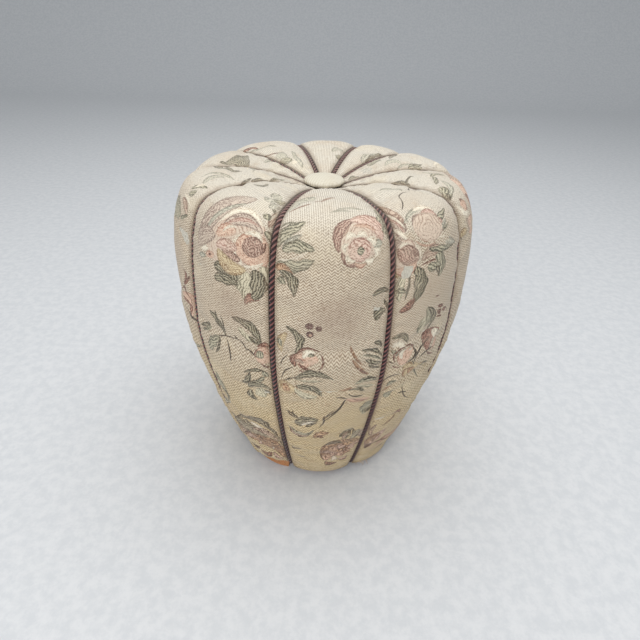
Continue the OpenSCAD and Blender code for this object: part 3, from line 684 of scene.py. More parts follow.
# The woven figures, as strokes in millimetres of cloth: across a flute from its middle and up it from
# the hem. Each stroke by flute: foot, way to the tip, bend to the left, half width, style.
STROKES = {
    0: """
-65 398 36 29 3 5.3 1, -57 421 16 6 1 1 1, -55 397 22 16 2 2.7 10, -61 385 33 11 -3 1.1 5,
-55 396 35 3 4 5.2 1, -63 380 43 9 -4 5.4 1, -65 376 22 -6 4 4.9 11, -58 374 17 -26 6 5.4 0,
-63 362 11 -3 2 3.4 1, -56 443 38 32 6 11.2 10, -46 441 24 13 1 1.5 3, -19 457 9 4 1 2 3,
3 409 45 -2 0 21.1 13, 3 397 18 34 9 5.7 15, 15 430 36 -23 10 8.3 12, 6 397 21 -13 -5 3.7 15,
19 423 23 -6 3 2.2 4, 39 403 11 2 0 4.8 10, 13 400 24 -2 0 12.4 12, 10 409 11 4 3 3 5, 21 412 12 0 3 3 5,
32 410 10 -8 3 3.4 5, 40 400 3 -10 4 3.8 5, 31 389 10 0 -3 3.2 5, 11 394 9 -6 -3 2.9 5,
20 386 12 -1 -3 2.6 4, 10 397 3 9 3 2.5 5, 18 404 15 -11 0 7.3 14, 18 399 15 -1 0 6.4 5, 22 398 8 0 0 3.2 1,
-4 439 20 1 2 1.6 10, 2 443 28 1 2 1.6 10, -8 462 11 6 2 2.2 3, 47 452 18 -47 3 9.6 1, 50 444 15 -42 3 6 0,
42 348 22 2 3 2.8 0, 48 317 14 10 4 5.1 0, 59 339 8 -20 1 1.4 0, -50 312 9 -38 11 4.1 0, -58 273 9 30 4 5 6,
-58 293 2 -11 -2 2.8 1, -49 272 -9 -19 -2 0.7 8, -58 230 16 25 4 0.8 8, -57 228 28 20 -1 0.8 8,
-51 233 21 1 3 1 8, -29 314 9 2 0 4.3 9, -18 312 7 1 0 3.6 9, -28 303 8 2 0 4.3 9, -25 302 3 2 0 1.8 4,
-40 270 28 10 10 2.2 7, -41 255 4 22 4 4.3 7, -36 256 21 18 6 10.8 4, -31 272 13 8 4 4 5,
-26 275 8 1 1 1.6 1, -37 260 23 -7 -2 2.7 7, -12 278 -1 -21 4 1.3 7, -36 252 25 5 -6 2 7,
-41 267 10 -5 2 3.8 3, -41 234 46 6 13 4.5 0, -30 241 19 10 4 1.1 8, -37 235 30 4 -1 1.7 2,
-40 224 32 -16 7 4.9 0, -41 219 28 -12 -6 4.3 2, -61 210 20 9 4 12.1 6, -56 213 9 4 2 6.8 11,
-54 214 5 2 0 3 5, -41 232 -1 -27 3 0.9 11, -55 172 22 -16 4 1.3 8, -44 174 3 -11 0 0.9 8,
-4 157 1 13 1 0.9 8, -5 164 27 36 -3 1 8, -15 119 19 12 3 2.4 7, -12 125 10 -7 0 2.2 11, 49 317 12 8 4 4 0,
21 288 17 -31 -2 1.8 11, 24 270 24 -31 -2 2.5 11, 31 256 14 -15 0 1.4 7, 34 281 29 -17 5 2.4 0,
37 273 26 -14 2 1.5 1, 41 265 23 -12 -1 2.7 0, 48 289 13 -12 3 2.3 0, 45 257 18 -12 -1 1.7 0,
30 228 32 -4 7 3.1 1, 32 225 26 -7 -1 1.8 2, 40 233 21 -4 2 1 8, 13 216 14 8 -2 3 11, 24 216 21 -4 5 2.3 0,
24 211 21 -7 -3 1.3 8, 22 200 31 -5 -3 4.7 4, 31 198 18 -4 -2 1.2 7, 46 163 23 18 8 7.2 1,
50 165 9 14 -3 2.9 0, 9 205 16 -5 2 1 8, -5 157 28 42 -2 1 8, -5 147 3 18 0 1 8, -7 118 11 14 2 2 7,
29 107 5 25 4 3.4 0, 36 99 3 29 -2 2.1 0, 42 103 10 16 4 4.8 2, 20 114 8 9 2 2 0, -12 456 15 11 4 2.5 3,
-52 136 37 0 -14 4.9 1, -49 131 28 -8 -7 2.8 3, -39 143 28 20 4 8 0, -32 143 16 14 1 2.6 5,
-27 141 15 14 -1 2.2 0, -10 139 6 27 -3 0.7 8, -4 163 13 19 1 0.8 8, -51 171 15 -11 -2 1.3 8,
-16 119 20 10 4 5.4 11, -12 120 9 4 1 2.2 7, -46 76 15 5 -1 3.5 1, -41 56 15 1 -1 2.8 10,
-2 54 58 32 19 21 11, 2 66 9 16 2 5.1 12, 10 75 10 11 3 6.5 4, 19 80 11 6 4 7.8 12, 2 50 9 10 3 6.7 4,
11 60 9 9 3 7.9 12, 12 48 9 1 6 6.4 5, 19 62 10 -1 5 7.8 4, 27 66 11 3 5 7.8 7, 35 72 10 3 5 7.8 12,
43 77 11 7 5 7.1 4, 3 46 17 -9 -4 5.7 7, 22 45 13 8 -6 5.7 12, 14 63 8 16 -2 3.2 7, 29 112 8 20 3 5.4 0,
38 104 8 20 -2 5.1 1, 25 108 6 15 2 2.7 3, 1 97 25 1 4 3.9 0, 52 97 13 16 7 7.1 14""",
    1: """
-60 383 30 0 1 21.1 13, -57 450 14 -39 1 8.7 14, -43 466 4 -46 -1 3.8 3, -48 446 7 -30 -1 1.4 5,
-53 432 5 -28 1 5 14, -50 436 7 -25 0 1.5 12, -53 418 10 -15 1 2.9 5, -60 394 14 3 4 6.5 14,
-53 395 21 -19 0 11.3 15, -52 395 10 4 2 1.9 5, -34 397 -3 -28 7 2.3 5, -60 370 28 6 -6 6.6 4,
-59 371 17 -6 -1 1.1 0, -32 416 39 -9 0 15.9 13, -32 411 21 13 6 4.4 14, -17 426 21 -11 6 5.3 12,
-24 413 19 1 4 3.4 5, -29 408 19 -8 -4 3.5 4, -19 412 15 -5 4 3.1 14, -2 419 7 -17 4 4.8 12,
-27 421 16 5 2 1.3 5, -25 401 23 0 -4 1.9 5, -36 425 28 7 4 2.8 10, -22 433 26 -6 4 3.6 5,
-28 421 29 0 4 2 3, -28 414 28 -1 3 3.5 4, -25 418 14 -8 1 1.8 3, -34 411 39 -9 -9 1.8 5,
-31 407 30 -1 -6 2.9 3, -34 401 27 -7 -5 1.2 4, -7 412 30 12 -1 3.3 1, -1 404 18 9 -1 2.4 10,
-4 402 24 6 -1 1.6 1, -29 395 41 5 3 2.5 1, -25 396 56 -13 4 4.5 10, -18 388 45 -6 -1 3.1 1,
-11 396 22 -1 2 1.1 5, -27 378 31 5 5 6.7 3, -26 371 26 3 2 1.1 7, -19 368 20 -1 -1 4.7 1,
-7 367 6 -15 2 2.3 0, -32 371 -1 -42 6 7.2 0, -48 362 -4 -30 -4 5.1 2, -41 366 -5 -33 1 1.3 0,
-34 334 -17 -16 2 4.8 7, -61 364 15 0 2 4.3 6, -58 351 12 10 -1 3.7 2, -58 346 14 -4 2 2.9 1,
10 311 8 -3 0 2.5 7, 20 301 10 -2 0 2.9 7, 7 305 9 -3 0 2.2 7, 11 297 7 -3 0 1.4 7, 0 327 5 -1 0 1.4 7,
-11 317 -2 -29 6 6.1 1, -15 305 -1 -17 -2 3.9 2, -50 101 -2 23 -2 2.6 3, -57 285 21 -10 8 3.6 0,
-51 286 11 2 2 1.7 0, -55 273 16 -3 5 4.8 5, -56 268 19 -1 -5 3.1 1, -39 241 14 24 5 10.9 4,
-49 248 14 22 9 1.8 7, -38 271 14 -7 3 1.5 7, -25 265 -7 -22 10 2.2 8, -40 252 5 14 4 3.4 5,
-50 243 13 -6 -2 1.3 7, -58 250 7 -2 1 1.1 8, -19 238 20 33 5 1.4 8, -13 242 28 7 4 1.5 8,
-23 244 7 -10 0 0.7 8, -11 316 7 -34 9 3.8 0, -18 282 6 17 3 5.5 2, -21 282 5 13 4 1.6 1,
0 250 19 26 14 12.9 7, 9 247 11 15 -3 4.6 4, 9 266 8 9 4 6.1 5, 0 250 21 -14 -3 1.5 7, 7 312 9 -4 0 2.3 7,
17 303 10 -2 0 2.5 7, 8 302 7 -3 0 2 7, 8 297 5 -2 0 1.5 7, -28 216 20 16 10 12.5 6, -29 217 10 14 9 2.3 11,
-23 220 9 8 4 4.6 11, -10 231 26 -20 4 3.4 6, -2 224 16 -1 3 2.2 0, -19 231 21 -30 1 1.1 1,
-24 207 27 -48 -7 0.8 8, -28 185 16 -4 2 1.3 8, -58 215 22 11 5 1.5 8, -51 208 12 8 3 2.5 1,
-46 182 10 13 3 5.5 1, -54 198 11 8 0 2 11, -16 131 13 1 5 5.5 7, -29 113 19 16 -2 1.8 11,
-29 43 103 -28 41 9.9 4, -23 34 38 -9 12 2.3 3, -31 62 85 -56 15 1.8 7, -40 91 0 30 3 3.7 3,
9 491 64 32 -11 0.9 10, 23 477 1 -17 -11 2.3 8, -14 491 13 -22 6 3.2 10, -18 457 19 6 4 0.9 8,
-32 438 16 22 -2 0.7 8, -40 422 23 0 3 2.3 10, -4 382 5 -30 3 6.6 1, -31 54 12 47 8 11.2 12,
-39 68 15 24 5 5 11, -28 66 9 14 4 5.7 12, -38 54 12 8 4 5.7 9""",
    2: """
-28 511 -7 -27 4 2.5 0, -33 489 22 -4 4 1.4 0, 5 477 -9 -11 5 3.2 10, -9 466 17 -18 4 2.7 1,
-8 463 -24 -8 1 2.5 1, -36 450 -16 -21 1 5 1, -18 453 -25 -20 4 4.1 10, -44 438 -7 -10 0 1.5 0,
77 421 -87 10 -7 13.7 3, 3 441 -21 -23 8 11.9 4, -11 429 4 -31 4 15.5 4, -41 422 6 -18 1 3.9 7,
-18 418 11 -27 6 6.4 7, -53 418 21 -18 -6 4.5 5, -36 394 14 -24 4 10.1 4, -58 379 14 3 2 4.3 6,
-58 377 14 0 3 4.4 6, -57 372 7 7 4 1.7 0, -44 396 11 -21 2 4.2 3, -43 418 4 -13 3 6.7 4""",
    3: """
10 530 8 -24 -1 5.5 1, 72 453 -68 47 6 5.5 0, -13 517 -5 -24 10 6.4 10, -29 505 -1 -25 8 2.6 10,
-33 489 -3 -21 4 6.1 1, -30 480 0 -14 3 3.5 0, -3 570 -7 -15 3 3.6 1""",
    4: """
-15 526 -11 -42 10 6.6 10, -17 520 -9 -44 4 2.9 0""",
    5: """
-8 508 -23 -9 7 5.5 10, -13 519 -13 1 -1 5.1 1""",
    6: """
57 451 -30 21 5 3.2 7, 50 465 -48 17 1 2.8 10, 42 492 -32 17 0 1.3 7, 24 513 -16 10 5 7.9 10,
24 526 -21 -1 -2 6 1, 11 538 -19 -1 1 4.7 5, -6 510 8 42 1 4.1 10""",
    7: """
23 468 1 34 11 13.6 0, 28 460 2 12 1 2.7 0, 0 515 -64 -40 -14 5.6 10""",
    8: """
-71 439 70 61 33 2.8 5, -57 460 63 33 -9 5.5 0, 1 509 -63 42 18 4.8 10, 8 505 -71 14 -5 0.7 1,
42 481 -19 19 2 1.9 0, 34 496 -12 25 4 2.6 0, 27 520 -22 30 3 1.9 1, 11 443 17 35 11 2.8 10,
29 441 -11 28 4 4.3 10, 25 426 16 16 2 2.9 1, 29 420 8 10 -3 3.6 1, 28 430 8 13 2 2.2 5,
-13 393 43 -3 2 10.4 1, 21 410 25 -14 4 4.6 3, 22 416 28 -8 2 2.2 5, 31 387 17 10 0 2.2 1,
25 327 0 -38 -44 3.2 8, 44 326 1 -15 3 3 7, 44 305 11 12 0 3.2 7, 50 313 9 8 0 2 7, 28 285 27 -24 18 12.2 4,
23 286 36 -8 17 1.9 7, 38 286 13 -24 7 4.3 7, 38 268 27 -10 -3 3.2 8, -31 197 88 19 -10 3.2 1""",
    9: """
-24 385 78 22 1 29.9 13, -29 378 49 71 10 11.6 14, -21 396 37 42 5 2.8 10, -3 411 50 6 16 4 5,
-1 400 50 10 15 7.2 14, 3 407 40 9 8 2.2 12, -4 398 24 8 3 7.1 4, 4 402 15 8 3 1.6 5, -3 387 28 1 3 6.2 12,
-1 382 37 -16 -7 8.7 6, 1 381 24 -10 -3 4.3 4, 5 385 24 -9 0 4.8 15, 1 375 33 -11 -7 2 5,
9 392 15 -10 5 1.5 5, 22 389 35 7 0 17.2 4, 31 372 5 38 11 5.3 5, 30 406 21 -10 7 3.3 5,
32 400 19 -13 0 11.3 15, 33 394 12 8 3 1.1 12, 36 384 12 8 1 1.1 5, 30 378 26 23 -17 4.8 4,
48 386 6 14 -3 1.8 7, 34 372 21 6 -3 2.2 5, -35 378 29 19 5 10.3 14, -19 389 14 4 0 4.4 12,
-15 390 5 1 0 1.6 7, -36 380 16 5 0 4 12, -30 382 5 2 0 1.3 0, -29 376 14 4 0 3.8 5, -24 377 6 2 0 1.3 7,
-19 371 13 4 0 4.1 4, -15 372 5 2 0 1.5 7, -34 366 14 4 0 3.2 10, -6 364 35 -9 3 7.2 0, -6 349 34 0 3 5.7 0,
-4 367 35 -6 4 4 1, 36 366 3 -35 -2 8.5 2, 47 370 -1 -37 5 8.1 0, 52 374 11 -19 2 4 2, 35 328 17 7 5 5.2 7,
56 382 11 -5 1 3.6 2, 52 418 2 38 1 4.8 3, 49 426 1 24 0 1.3 5, 50 413 13 -15 2 3.1 1, 59 399 2 -11 0 2 1,
27 452 5 10 0 7.8 10, 26 465 3 11 0 7.1 10, 39 443 3 12 0 5.2 10, 35 457 3 13 0 5 1, 40 432 9 -6 1 2.8 1,
40 447 19 -15 -1 1.5 1, -19 301 23 -28 5 3.6 0, -9 305 10 -21 -2 1.5 0, 0 301 2 -25 3 1 0,
-24 260 48 17 4 1 8, 5 271 4 -32 3 1.3 8, 19 282 5 -6 0 1.2 8, 24 277 10 -14 2 0.9 8, 32 267 16 -10 2 1 8,
-6 269 -26 -33 -3 5.7 1, -5 269 -13 -29 3 1.9 0, -30 277 9 -3 0 5.3 1, 17 306 37 -28 9 4.6 0,
25 295 26 -18 -1 3.1 2, 39 287 15 -9 -1 2.6 0, 46 260 19 0 3 13.4 4, 49 275 16 -2 4 2.8 7,
47 269 6 -10 -4 2.6 7, 48 267 7 -8 0 3.8 1, 52 250 10 -6 -2 1.9 7, 18 204 17 28 -3 3.1 0, 26 228 33 3 7 2 0,
38 212 15 15 0 2.7 1, 50 233 8 -6 1 3 1, 25 198 34 6 11 5.3 0, 26 194 9 -16 -4 4.7 0, 37 199 12 -11 0 7.5 2,
49 202 6 -10 2 3 0, -44 160 25 -3 18 6.4 1, -21 153 15 -35 -9 2.3 10, -33 174 4 -15 6 3.7 0,
-22 463 -52 62 8 7.2 0, -9 476 8 16 -6 4 0, -50 542 -7 31 -11 3.6 10, -44 269 23 12 0 2.1 0,
-41 263 19 13 0 1.6 1, -46 162 25 3 15 10.7 1, -38 165 11 -24 11 4.3 0, -94 91 67 50 -3 7.5 10,
-87 35 134 59 26 13.6 1, -23 103 50 13 9 3.2 0, 5 124 37 -16 11 7.8 0, 5 110 37 -23 8 4.3 5,
7 98 38 -20 14 7.1 3, 30 126 16 -35 5 3.2 0, -84 23 96 57 7 8.5 14, -25 73 43 8 1 3.2 9,
-20 60 71 -29 24 19.9 11, -19 56 29 16 5 8.1 12, 3 69 18 1 7 7.8 4, 3 49 21 7 7 8.5 12, 16 61 18 3 7 5.7 5,
24 56 13 -8 7 7.8 11, 33 54 12 -11 6 7.8 4, 4 32 20 2 -6 6.4 7, 26 36 16 -9 -3 5 12, -19 36 23 4 -5 4.3 9,
47 94 6 -36 2 3.7 1, 39 45 8 -22 3 3.7 10""",
}
# What the camera doesn't see repeats the cloth of the front: flute, flute that it repeats, shift up,
# mirrored or not, and the side of the flute that it fills, or 0 for both
REPEATS = [(8, 1, 66, 0, -1), (7, 0, 118, 0, 0), (6, 9, 300, 0, 0), (5, 0, 24, 1, 0), (4, 1, 30, 1, 0),
           (3, 9, 40, 1, 0), (2, 0, 270, 1, 1)]
REPEAT_TOP = 440
SIDE_EDGE = 12
# Stains and faded places: flute, place, half sizes, strength
STAINS = [(0, 4, 322, 48, 44, 0.8), (9, 20, 320, 34, 40, 0.7), (1, -34, 300, 26, 34, 0.35),
          (0, 20, 96, 44, 30, 0.35), (9, 10, 120, 40, 36, 0.3), (8, 30, 330, 30, 60, 0.5),
          (5, 0, 260, 50, 60, 0.6), (3, 10, 180, 40, 70, 0.5), (6, -10, 320, 40, 50, 0.6)]


def strokes_on(k):
    """The strokes of flute k, with those that it repeats."""
    made = {f: [[float(n) for n in row.split()] for row in text.split(",")] for f, text in STROKES.items()}
    own = list(made.get(k, ()))
    for flute, source, shift, mirror, side in REPEATS:
        for u, v, du, dv, bend, half, style in made[source] if flute == k else ():
            if max(v, v + dv) > REPEAT_TOP:
                continue
            move = (v + shift) % (REPEAT_TOP - 20) - v
            if mirror:
                u, du, bend = -u, -du, -bend
            if v + dv + move > 0 and (u + du / 2) * side >= SIDE_EDGE * abs(side):
                own.insert(0, [u, v + move, du, dv, bend, half, style])
    return own


def figure_layers(k, corners):
    """Each stroke's own coordinates at the corners of the quads near it, in layers drawn in turn."""
    count = len(corners)
    at, about = np.tile(BARE, (LAYERS, count, 4, 1)), np.tile(BARE_KIND, (LAYERS, count, 1))
    used, covered = np.zeros((2, LAYERS, count), bool)
    low, high = corners.min(1), corners.max(1)
    for u, v, du, dv, bend, half, style in strokes_on(k):
        foot, way = np.array([u, v]), np.array([du, dv])
        spread = half * (LEAF_SPREAD if style < LEAF_STYLES else 1)
        room = abs(bend) + spread * SPREAD_ROOM + MARGIN
        ids = np.flatnonzero(((low < np.maximum(foot, foot + way) + room)
                              & (high > np.minimum(foot, foot + way) - room)).all(1))
        length = max(np.linalg.norm(way), 1.0)
        way /= length
        local = corners[ids] - foot
        x, y = local @ way, local @ [-way[1], way[0]]
        share = np.clip(x / length, 0, 1)
        off = np.abs(y - bend * 4 * share * (1 - share))
        along = (x > -MARGIN) & (x < length + MARGIN)
        near = (along & (off < spread * SPREAD_ROOM + MARGIN)).any(1)
        core = (along & (off < spread)).any(1)
        if not near.any():
            continue
        ids, core, spot = ids[near], core[near], np.stack([x, y, np.full(x.shape, bend)], -1)[near]
        under = np.flatnonzero((covered[:, ids] & core).any(1))
        free = np.flatnonzero(~used[:, ids].any(1))
        above = free[free > (under.max() if len(under) else -1)]
        layer = above[0] if len(above) else free[-1] if len(free) else LAYERS - 1
        take = ~used[layer, ids]
        at[layer, ids[take]] = spot[take]
        about[layer, ids[take]] = (length, half, style)
        used[layer, ids] = True
        covered[layer, ids[core & take]] = True
    return at, about


# Covers

ROWS, COLS, CLOTH_SHELL = 193, 37, 1.3
# Shares of the way down beside a cord, which ends a little under the seam line
TUCK, TUCK_UNDER = np.array([0.12, 0.4, 0.7, 1.0]), 1.2
# Puckers beside the cords, radial creases at the eye, and how far from its edges the cloth lies still
PUCKER_PITCH, CREASED_FROM, SEAM_HOLD, HEM_HOLD, EYE_HOLD = 15, 505, 9, 18, 14
WORN_FROM, WORN_RUN = 0.1, 0.5


def hem_length(k, share):
    """How far up the cloth flute k's hem lies: it is worn away on the front left flute."""
    if k != WORN_FLUTE:
        return 0 * share
    t = np.clip((share - WORN_FROM) / WORN_RUN, 0, 1)
    ragged = np.sin(share * 71) * 0.5 + np.sin(share * 163 + 1) * 0.4 + np.sin(share * 29) * 0.6
    return up_side(HEM_Z + WEAR_H * smooth(t), LENGTH) + ragged * smooth(t * 3)


def cover_grid(k, rows, cols):
    """Lengths up the cloth, stations and shares of the width of flute k's grid."""
    t = np.linspace(0, 1, cols)
    share = 0.45 * t + 0.55 * (1 - np.cos(np.pi * t)) / 2
    start = hem_length(k, share)
    length = start + (LENGTH[-1] - start) * np.linspace(0, 1, rows)[:, None]
    return length, station(length), np.broadcast_to(share, length.shape)


def across_cloth(points):
    """Length of cloth across a grid's rows, from the middle of each."""
    run = np.cumsum(np.linalg.norm(np.diff(points, axis=1, prepend=points[:, :1]), axis=2), axis=1)
    middle = (points.shape[1] - 1) // 2
    return run - run[:, middle:middle + 1]


SIM_ROWS, SIM_COLS, SIM_FRAMES, SIM_CAP, BLUR_PASSES = 90, 17, 24, 2.2, 60


def simulate_covers():
    """How far each cover moves out when its cloth is stuffed tight, from a Cloth simulation.

    All ten are simulated together as one coarse sheet each, held along the seams, hem and eye.
    """
    grids = np.array([flute_point(k, *cover_grid(k, SIM_ROWS, SIM_COLS)[1:]) for k in FLUTES])
    faces = [grid_quads(SIM_ROWS, SIM_COLS, k * SIM_ROWS * SIM_COLS) for k in FLUTES]
    sheet = new_object("cover_simulation", listed(grids), np.concatenate(faces))
    held = np.zeros(grids.shape[:3], bool)
    held[:, [0, -1]] = held[:, :, [0, -1]] = True
    sheet.vertex_groups.new(name="held").add(np.flatnonzero(held).tolist(), 1.0, "REPLACE")
    cloth = sheet.modifiers.new("cloth", "CLOTH")
    rules = cloth.settings
    rules.quality, rules.mass, rules.air_damping = 6, 0.25, 2.0
    rules.tension_stiffness = rules.compression_stiffness = 18
    rules.shear_stiffness, rules.bending_stiffness = 8, 0.6
    rules.use_pressure, rules.uniform_pressure_force = True, 3.5
    rules.shrink_min, rules.vertex_group_mass = -0.035, "held"
    rules.effector_weights.gravity = 0
    cloth.point_cache.frame_start, cloth.point_cache.frame_end = 1, SIM_FRAMES
    for frame_number in range(1, SIM_FRAMES + 1):
        bpy.context.scene.frame_set(frame_number)
    done = sheet.evaluated_get(bpy.context.evaluated_depsgraph_get())
    moved = np.zeros(grids.size)
    done.data.vertices.foreach_get("co", moved)
    bpy.context.scene.frame_set(1)
    mesh = sheet.data
    bpy.data.objects.remove(sheet)
    bpy.data.meshes.remove(mesh)
    out = np.array([normals(g) for g in grids])
    offsets = ((moved.reshape(grids.shape) / MM - grids) * out).sum(-1)
    # The stuffed shape is in the outline already, so only the folds along the flute are kept
    blur = offsets.copy()
    for _ in range(BLUR_PASSES):
        blur[:, 1:-1] = (blur[:, :-2] + 2 * blur[:, 1:-1] + blur[:, 2:]) / 4
    return np.clip(offsets - blur, -SIM_CAP, SIM_CAP)


folds = simulate_covers()


def fold_at(k, length, share):
    """The simulated folds at the fine grid's points."""
    if folds is None:
        return 0 * length
    rows = length / LENGTH[-1] * (SIM_ROWS - 1)
    own_share = cover_grid(k, 2, SIM_COLS)[2][0]
    cols = np.interp(share, own_share, np.arange(SIM_COLS))
    i, j = np.clip(rows.astype(int), 0, SIM_ROWS - 2), np.clip(cols.astype(int), 0, SIM_COLS - 2)
    a, b, f = rows - i, cols - j, folds[k]
    return ((f[i, j] * (1 - b) + f[i, j + 1] * b) * (1 - a)
            + (f[i + 1, j] * (1 - b) + f[i + 1, j + 1] * b) * a)


def declare_cut(area, flat):
    """Works out a stretched sheet's flat sides, and its upper side's own area up to their product, in metres,
    and keeps neither.
    """
    flat = (flat[0] * MM, flat[1] * MM)
    area = min(area * MM * MM, flat[0] * flat[1])


def cover(k):
    length, s, share = cover_grid(k, ROWS, COLS)
    base = flute_point(k, s, share)
    u = across_cloth(base)
    edge = np.minimum(u - u[:, :1], u[:, -1:] - u)
    from_hem = smooth(length / HEM_HOLD)
    hold = smooth(edge / SEAM_HOLD) * from_hem * smooth((LENGTH[-1] - length) / EYE_HOLD)
    lump = waves(base, 120, 11 + k) * 0.9 + waves(base, 48, 31 + k) * 0.35
    pucker = np.sin(2 * np.pi * (length / PUCKER_PITCH + 0.35 * waves(base, 40, 51 + k)))
    pucker = pucker * np.exp(-edge / 8) * smooth(edge / 3) * 0.5
    crease = np.sin(u * 0.9 + 1.7 * k + 1.5 * waves(base, 60, 71 + k))
    crease = crease * smooth((length - CREASED_FROM) / 50) * 0.55
    shape = base + normals(base) * ((lump + crease) * hold + pucker * from_hem
                                    + fold_at(k, length, share) * smooth(edge / 5))[..., None]
    # Tucks down beside the cords, along the flute's own normal at its two edges
    line, way = seam_line(s[:, 0]), crest_normal(s[:, 0])
    sides, drops = [], []
    for j, tuck in ((0, TUCK[::-1]), (-1, TUCK)):
        azimuth = np.degrees(np.arctan2(base[:, j, 0], -base[:, j, 1]))
        down, centre = (polar(p[:, 0], azimuth, p[:, 1]) for p in (way, line))
        drop = ((base[:, j] - centre) * down).sum(1) + TUCK_UNDER
        sides.append(base[:, j, None] - down[:, None] * (drop[:, None] * tuck)[..., None])
        drops.append(np.linalg.norm(sides[-1] - base[:, j, None], axis=2))
    grid = np.concatenate([sides[0], shape, sides[1]], 1)
    uu = np.concatenate([u[:, :1] - drops[0], u, u[:, -1:] + drops[1]], 1)
    vv = np.pad(length, ((0, 0), (len(TUCK), len(TUCK))), "edge")
    near = np.concatenate([-drops[0], edge, -drops[1]], 1)
    faces = shell_faces(*grid.shape[:2])
    made = new_object(f"cover_{k + 1:02}", listed(grid, grid - normals(grid) * CLOTH_SHELL), faces, TAPESTRY)
    cloth = np.stack([uu, vv], -1).reshape(-1, 2)
    add_uv(made.data, np.tile(cloth, (2, 1)))
    stain = np.zeros(len(cloth))
    for flute, x, y, wide, tall, strength in STAINS:
        if flute == k:
            far = ((cloth[:, 0] - x) / wide) ** 2 + ((cloth[:, 1] - y) / tall) ** 2
            stain += strength * np.clip(1 - far, 0, 1)
    ids = corner_ids(made.data)
    lie = np.stack([near.ravel(), stain, np.full(len(cloth), float(k))], -1)
    add_corner_vectors(made.data, "lie", np.tile(lie, (2, 1))[ids])
    outer = (grid.shape[0] - 1) * (grid.shape[1] - 1)
    rest = len(ids) - outer * 4
    for layer, (at, about) in enumerate(zip(*figure_layers(k, cloth[faces[:outer]]))):
        at = np.concatenate([at.reshape(-1, 3), np.tile(BARE, (rest, 1))])
        about = np.concatenate([np.repeat(about, 4, axis=0), np.tile(BARE_KIND, (rest, 1))])
        add_corner_vectors(made.data, f"figure_{layer}", at)
        add_corner_vectors(made.data, f"figure_{layer}_kind", about)
    finished(made, "tapestry", f"cover_panel_{k + 1:02}")
    area = np.linalg.norm(np.cross(np.gradient(grid, axis=0), np.gradient(grid, axis=1)), axis=2).sum()
    declare_cut(area, (uu.max() - uu.min(), LENGTH[-1]))


# Pads

# How far the pads lie under the covers, and their own sides from the flutes' edges, as a share
PAD_ROWS, PAD_COLS, PAD_UNDER, PAD_SIDE = 72, 17, 2.3, 0.025


BOARD_Z, RING_TOP = HEM_Z + BLOCK_H, 268.0
PAD_FOOT = up_side(BOARD_Z + GAP, DENSE)
WALL_LOW = seam_line(PAD_FOOT)[0] - 5.5
WALL_HIGH = seam_line(1)[0] - 26.0


def wall_r(z):
    return WALL_LOW + (WALL_HIGH - WALL_LOW) * (z - BOARD_Z) / (BELLY_Z - BOARD_Z)


def seat_bed(s):
    return seam_line(s) - crest_normal(s) * np.interp(s, *BEDS)[..., None]


def pad(k):
    t = np.linspace(0, 1, PAD_COLS)
    share = PAD_SIDE + (1 - 2 * PAD_SIDE) * (0.4 * t + 0.6 * (1 - np.cos(np.pi * t)) / 2)
    s, share = np.broadcast_arrays(np.linspace(PAD_FOOT, 3, PAD_ROWS)[:, None], share)
    outer = flute_point(k, s, share, PAD_UNDER)
    outer -= normals(outer) * (0.4 + 0.35 * waves(outer, 16, 91 + k))[..., None]
    low = np.stack([wall_r(crest(s)[..., 1]) + GAP, crest(s)[..., 1]], -1)
    bed = np.where((s <= 1)[..., None], low, seat_bed(s) + crest_normal(s) * GAP)
    inner = polar(bed[..., 0] + 0.2, flute_azimuth(k, seam_line(s), share), bed[..., 1])
    made = new_object(f"pad_{k + 1:02}", listed(outer, inner), shell_faces(PAD_ROWS, PAD_COLS), WADDING)
    finished(made, "wadding", f"channel_pad_{k + 1:02}")


# Cords and twines

STRANDS, CORD_BEND, CORD_PITCH = 3, 5.0, 19.0

def twisted(name, path, radius, pitch, step, ups, material, sides, depth=0.39, turn=0.0):
    """A rope of three twisted strands along a path, in right-hand turns."""
    run = lengths(path)
    at = np.linspace(0, run[-1], max(6, int(run[-1] / step)))
    line, up = (np.stack([np.interp(at, run, c) for c in np.broadcast_to(v, path.shape).T], -1)
                for v in (path, ups))
    around = 2 * np.pi * np.arange(sides) / sides
    turns = np.cumsum(np.gradient(at) / np.interp(at, run, np.broadcast_to(pitch, run.shape)))
    phase = STRANDS * (around[None] / (2 * np.pi)) - STRANDS * turns[:, None] + turn
    size = np.interp(at, run, np.broadcast_to(radius, run.shape))[:, None]
    shape = size * (1 - depth * (1 - np.abs(np.cos(np.pi * phase))) ** 1.3)
    made = new_object(name, *tube(line, shape, sides, up), material)
    # In the quads that close the circle the last column counts on instead of starting again
    ids = corner_ids(made.data)
    row, col = ids // sides, (ids % sides).astype(float)
    quads = col[:(len(at) - 1) * sides * 4].reshape(-1, 4)
    quads[(np.ptp(quads, axis=1, keepdims=True) > sides / 2) & (quads == 0)] = sides
    uv = np.stack([STRANDS * col / sides - STRANDS * turns[row] + turn, at[row]], -1)
    made.data.uv_layers.new(name="cloth").data.foreach_set("uv", uv.astype(np.float32).ravel())
    return made


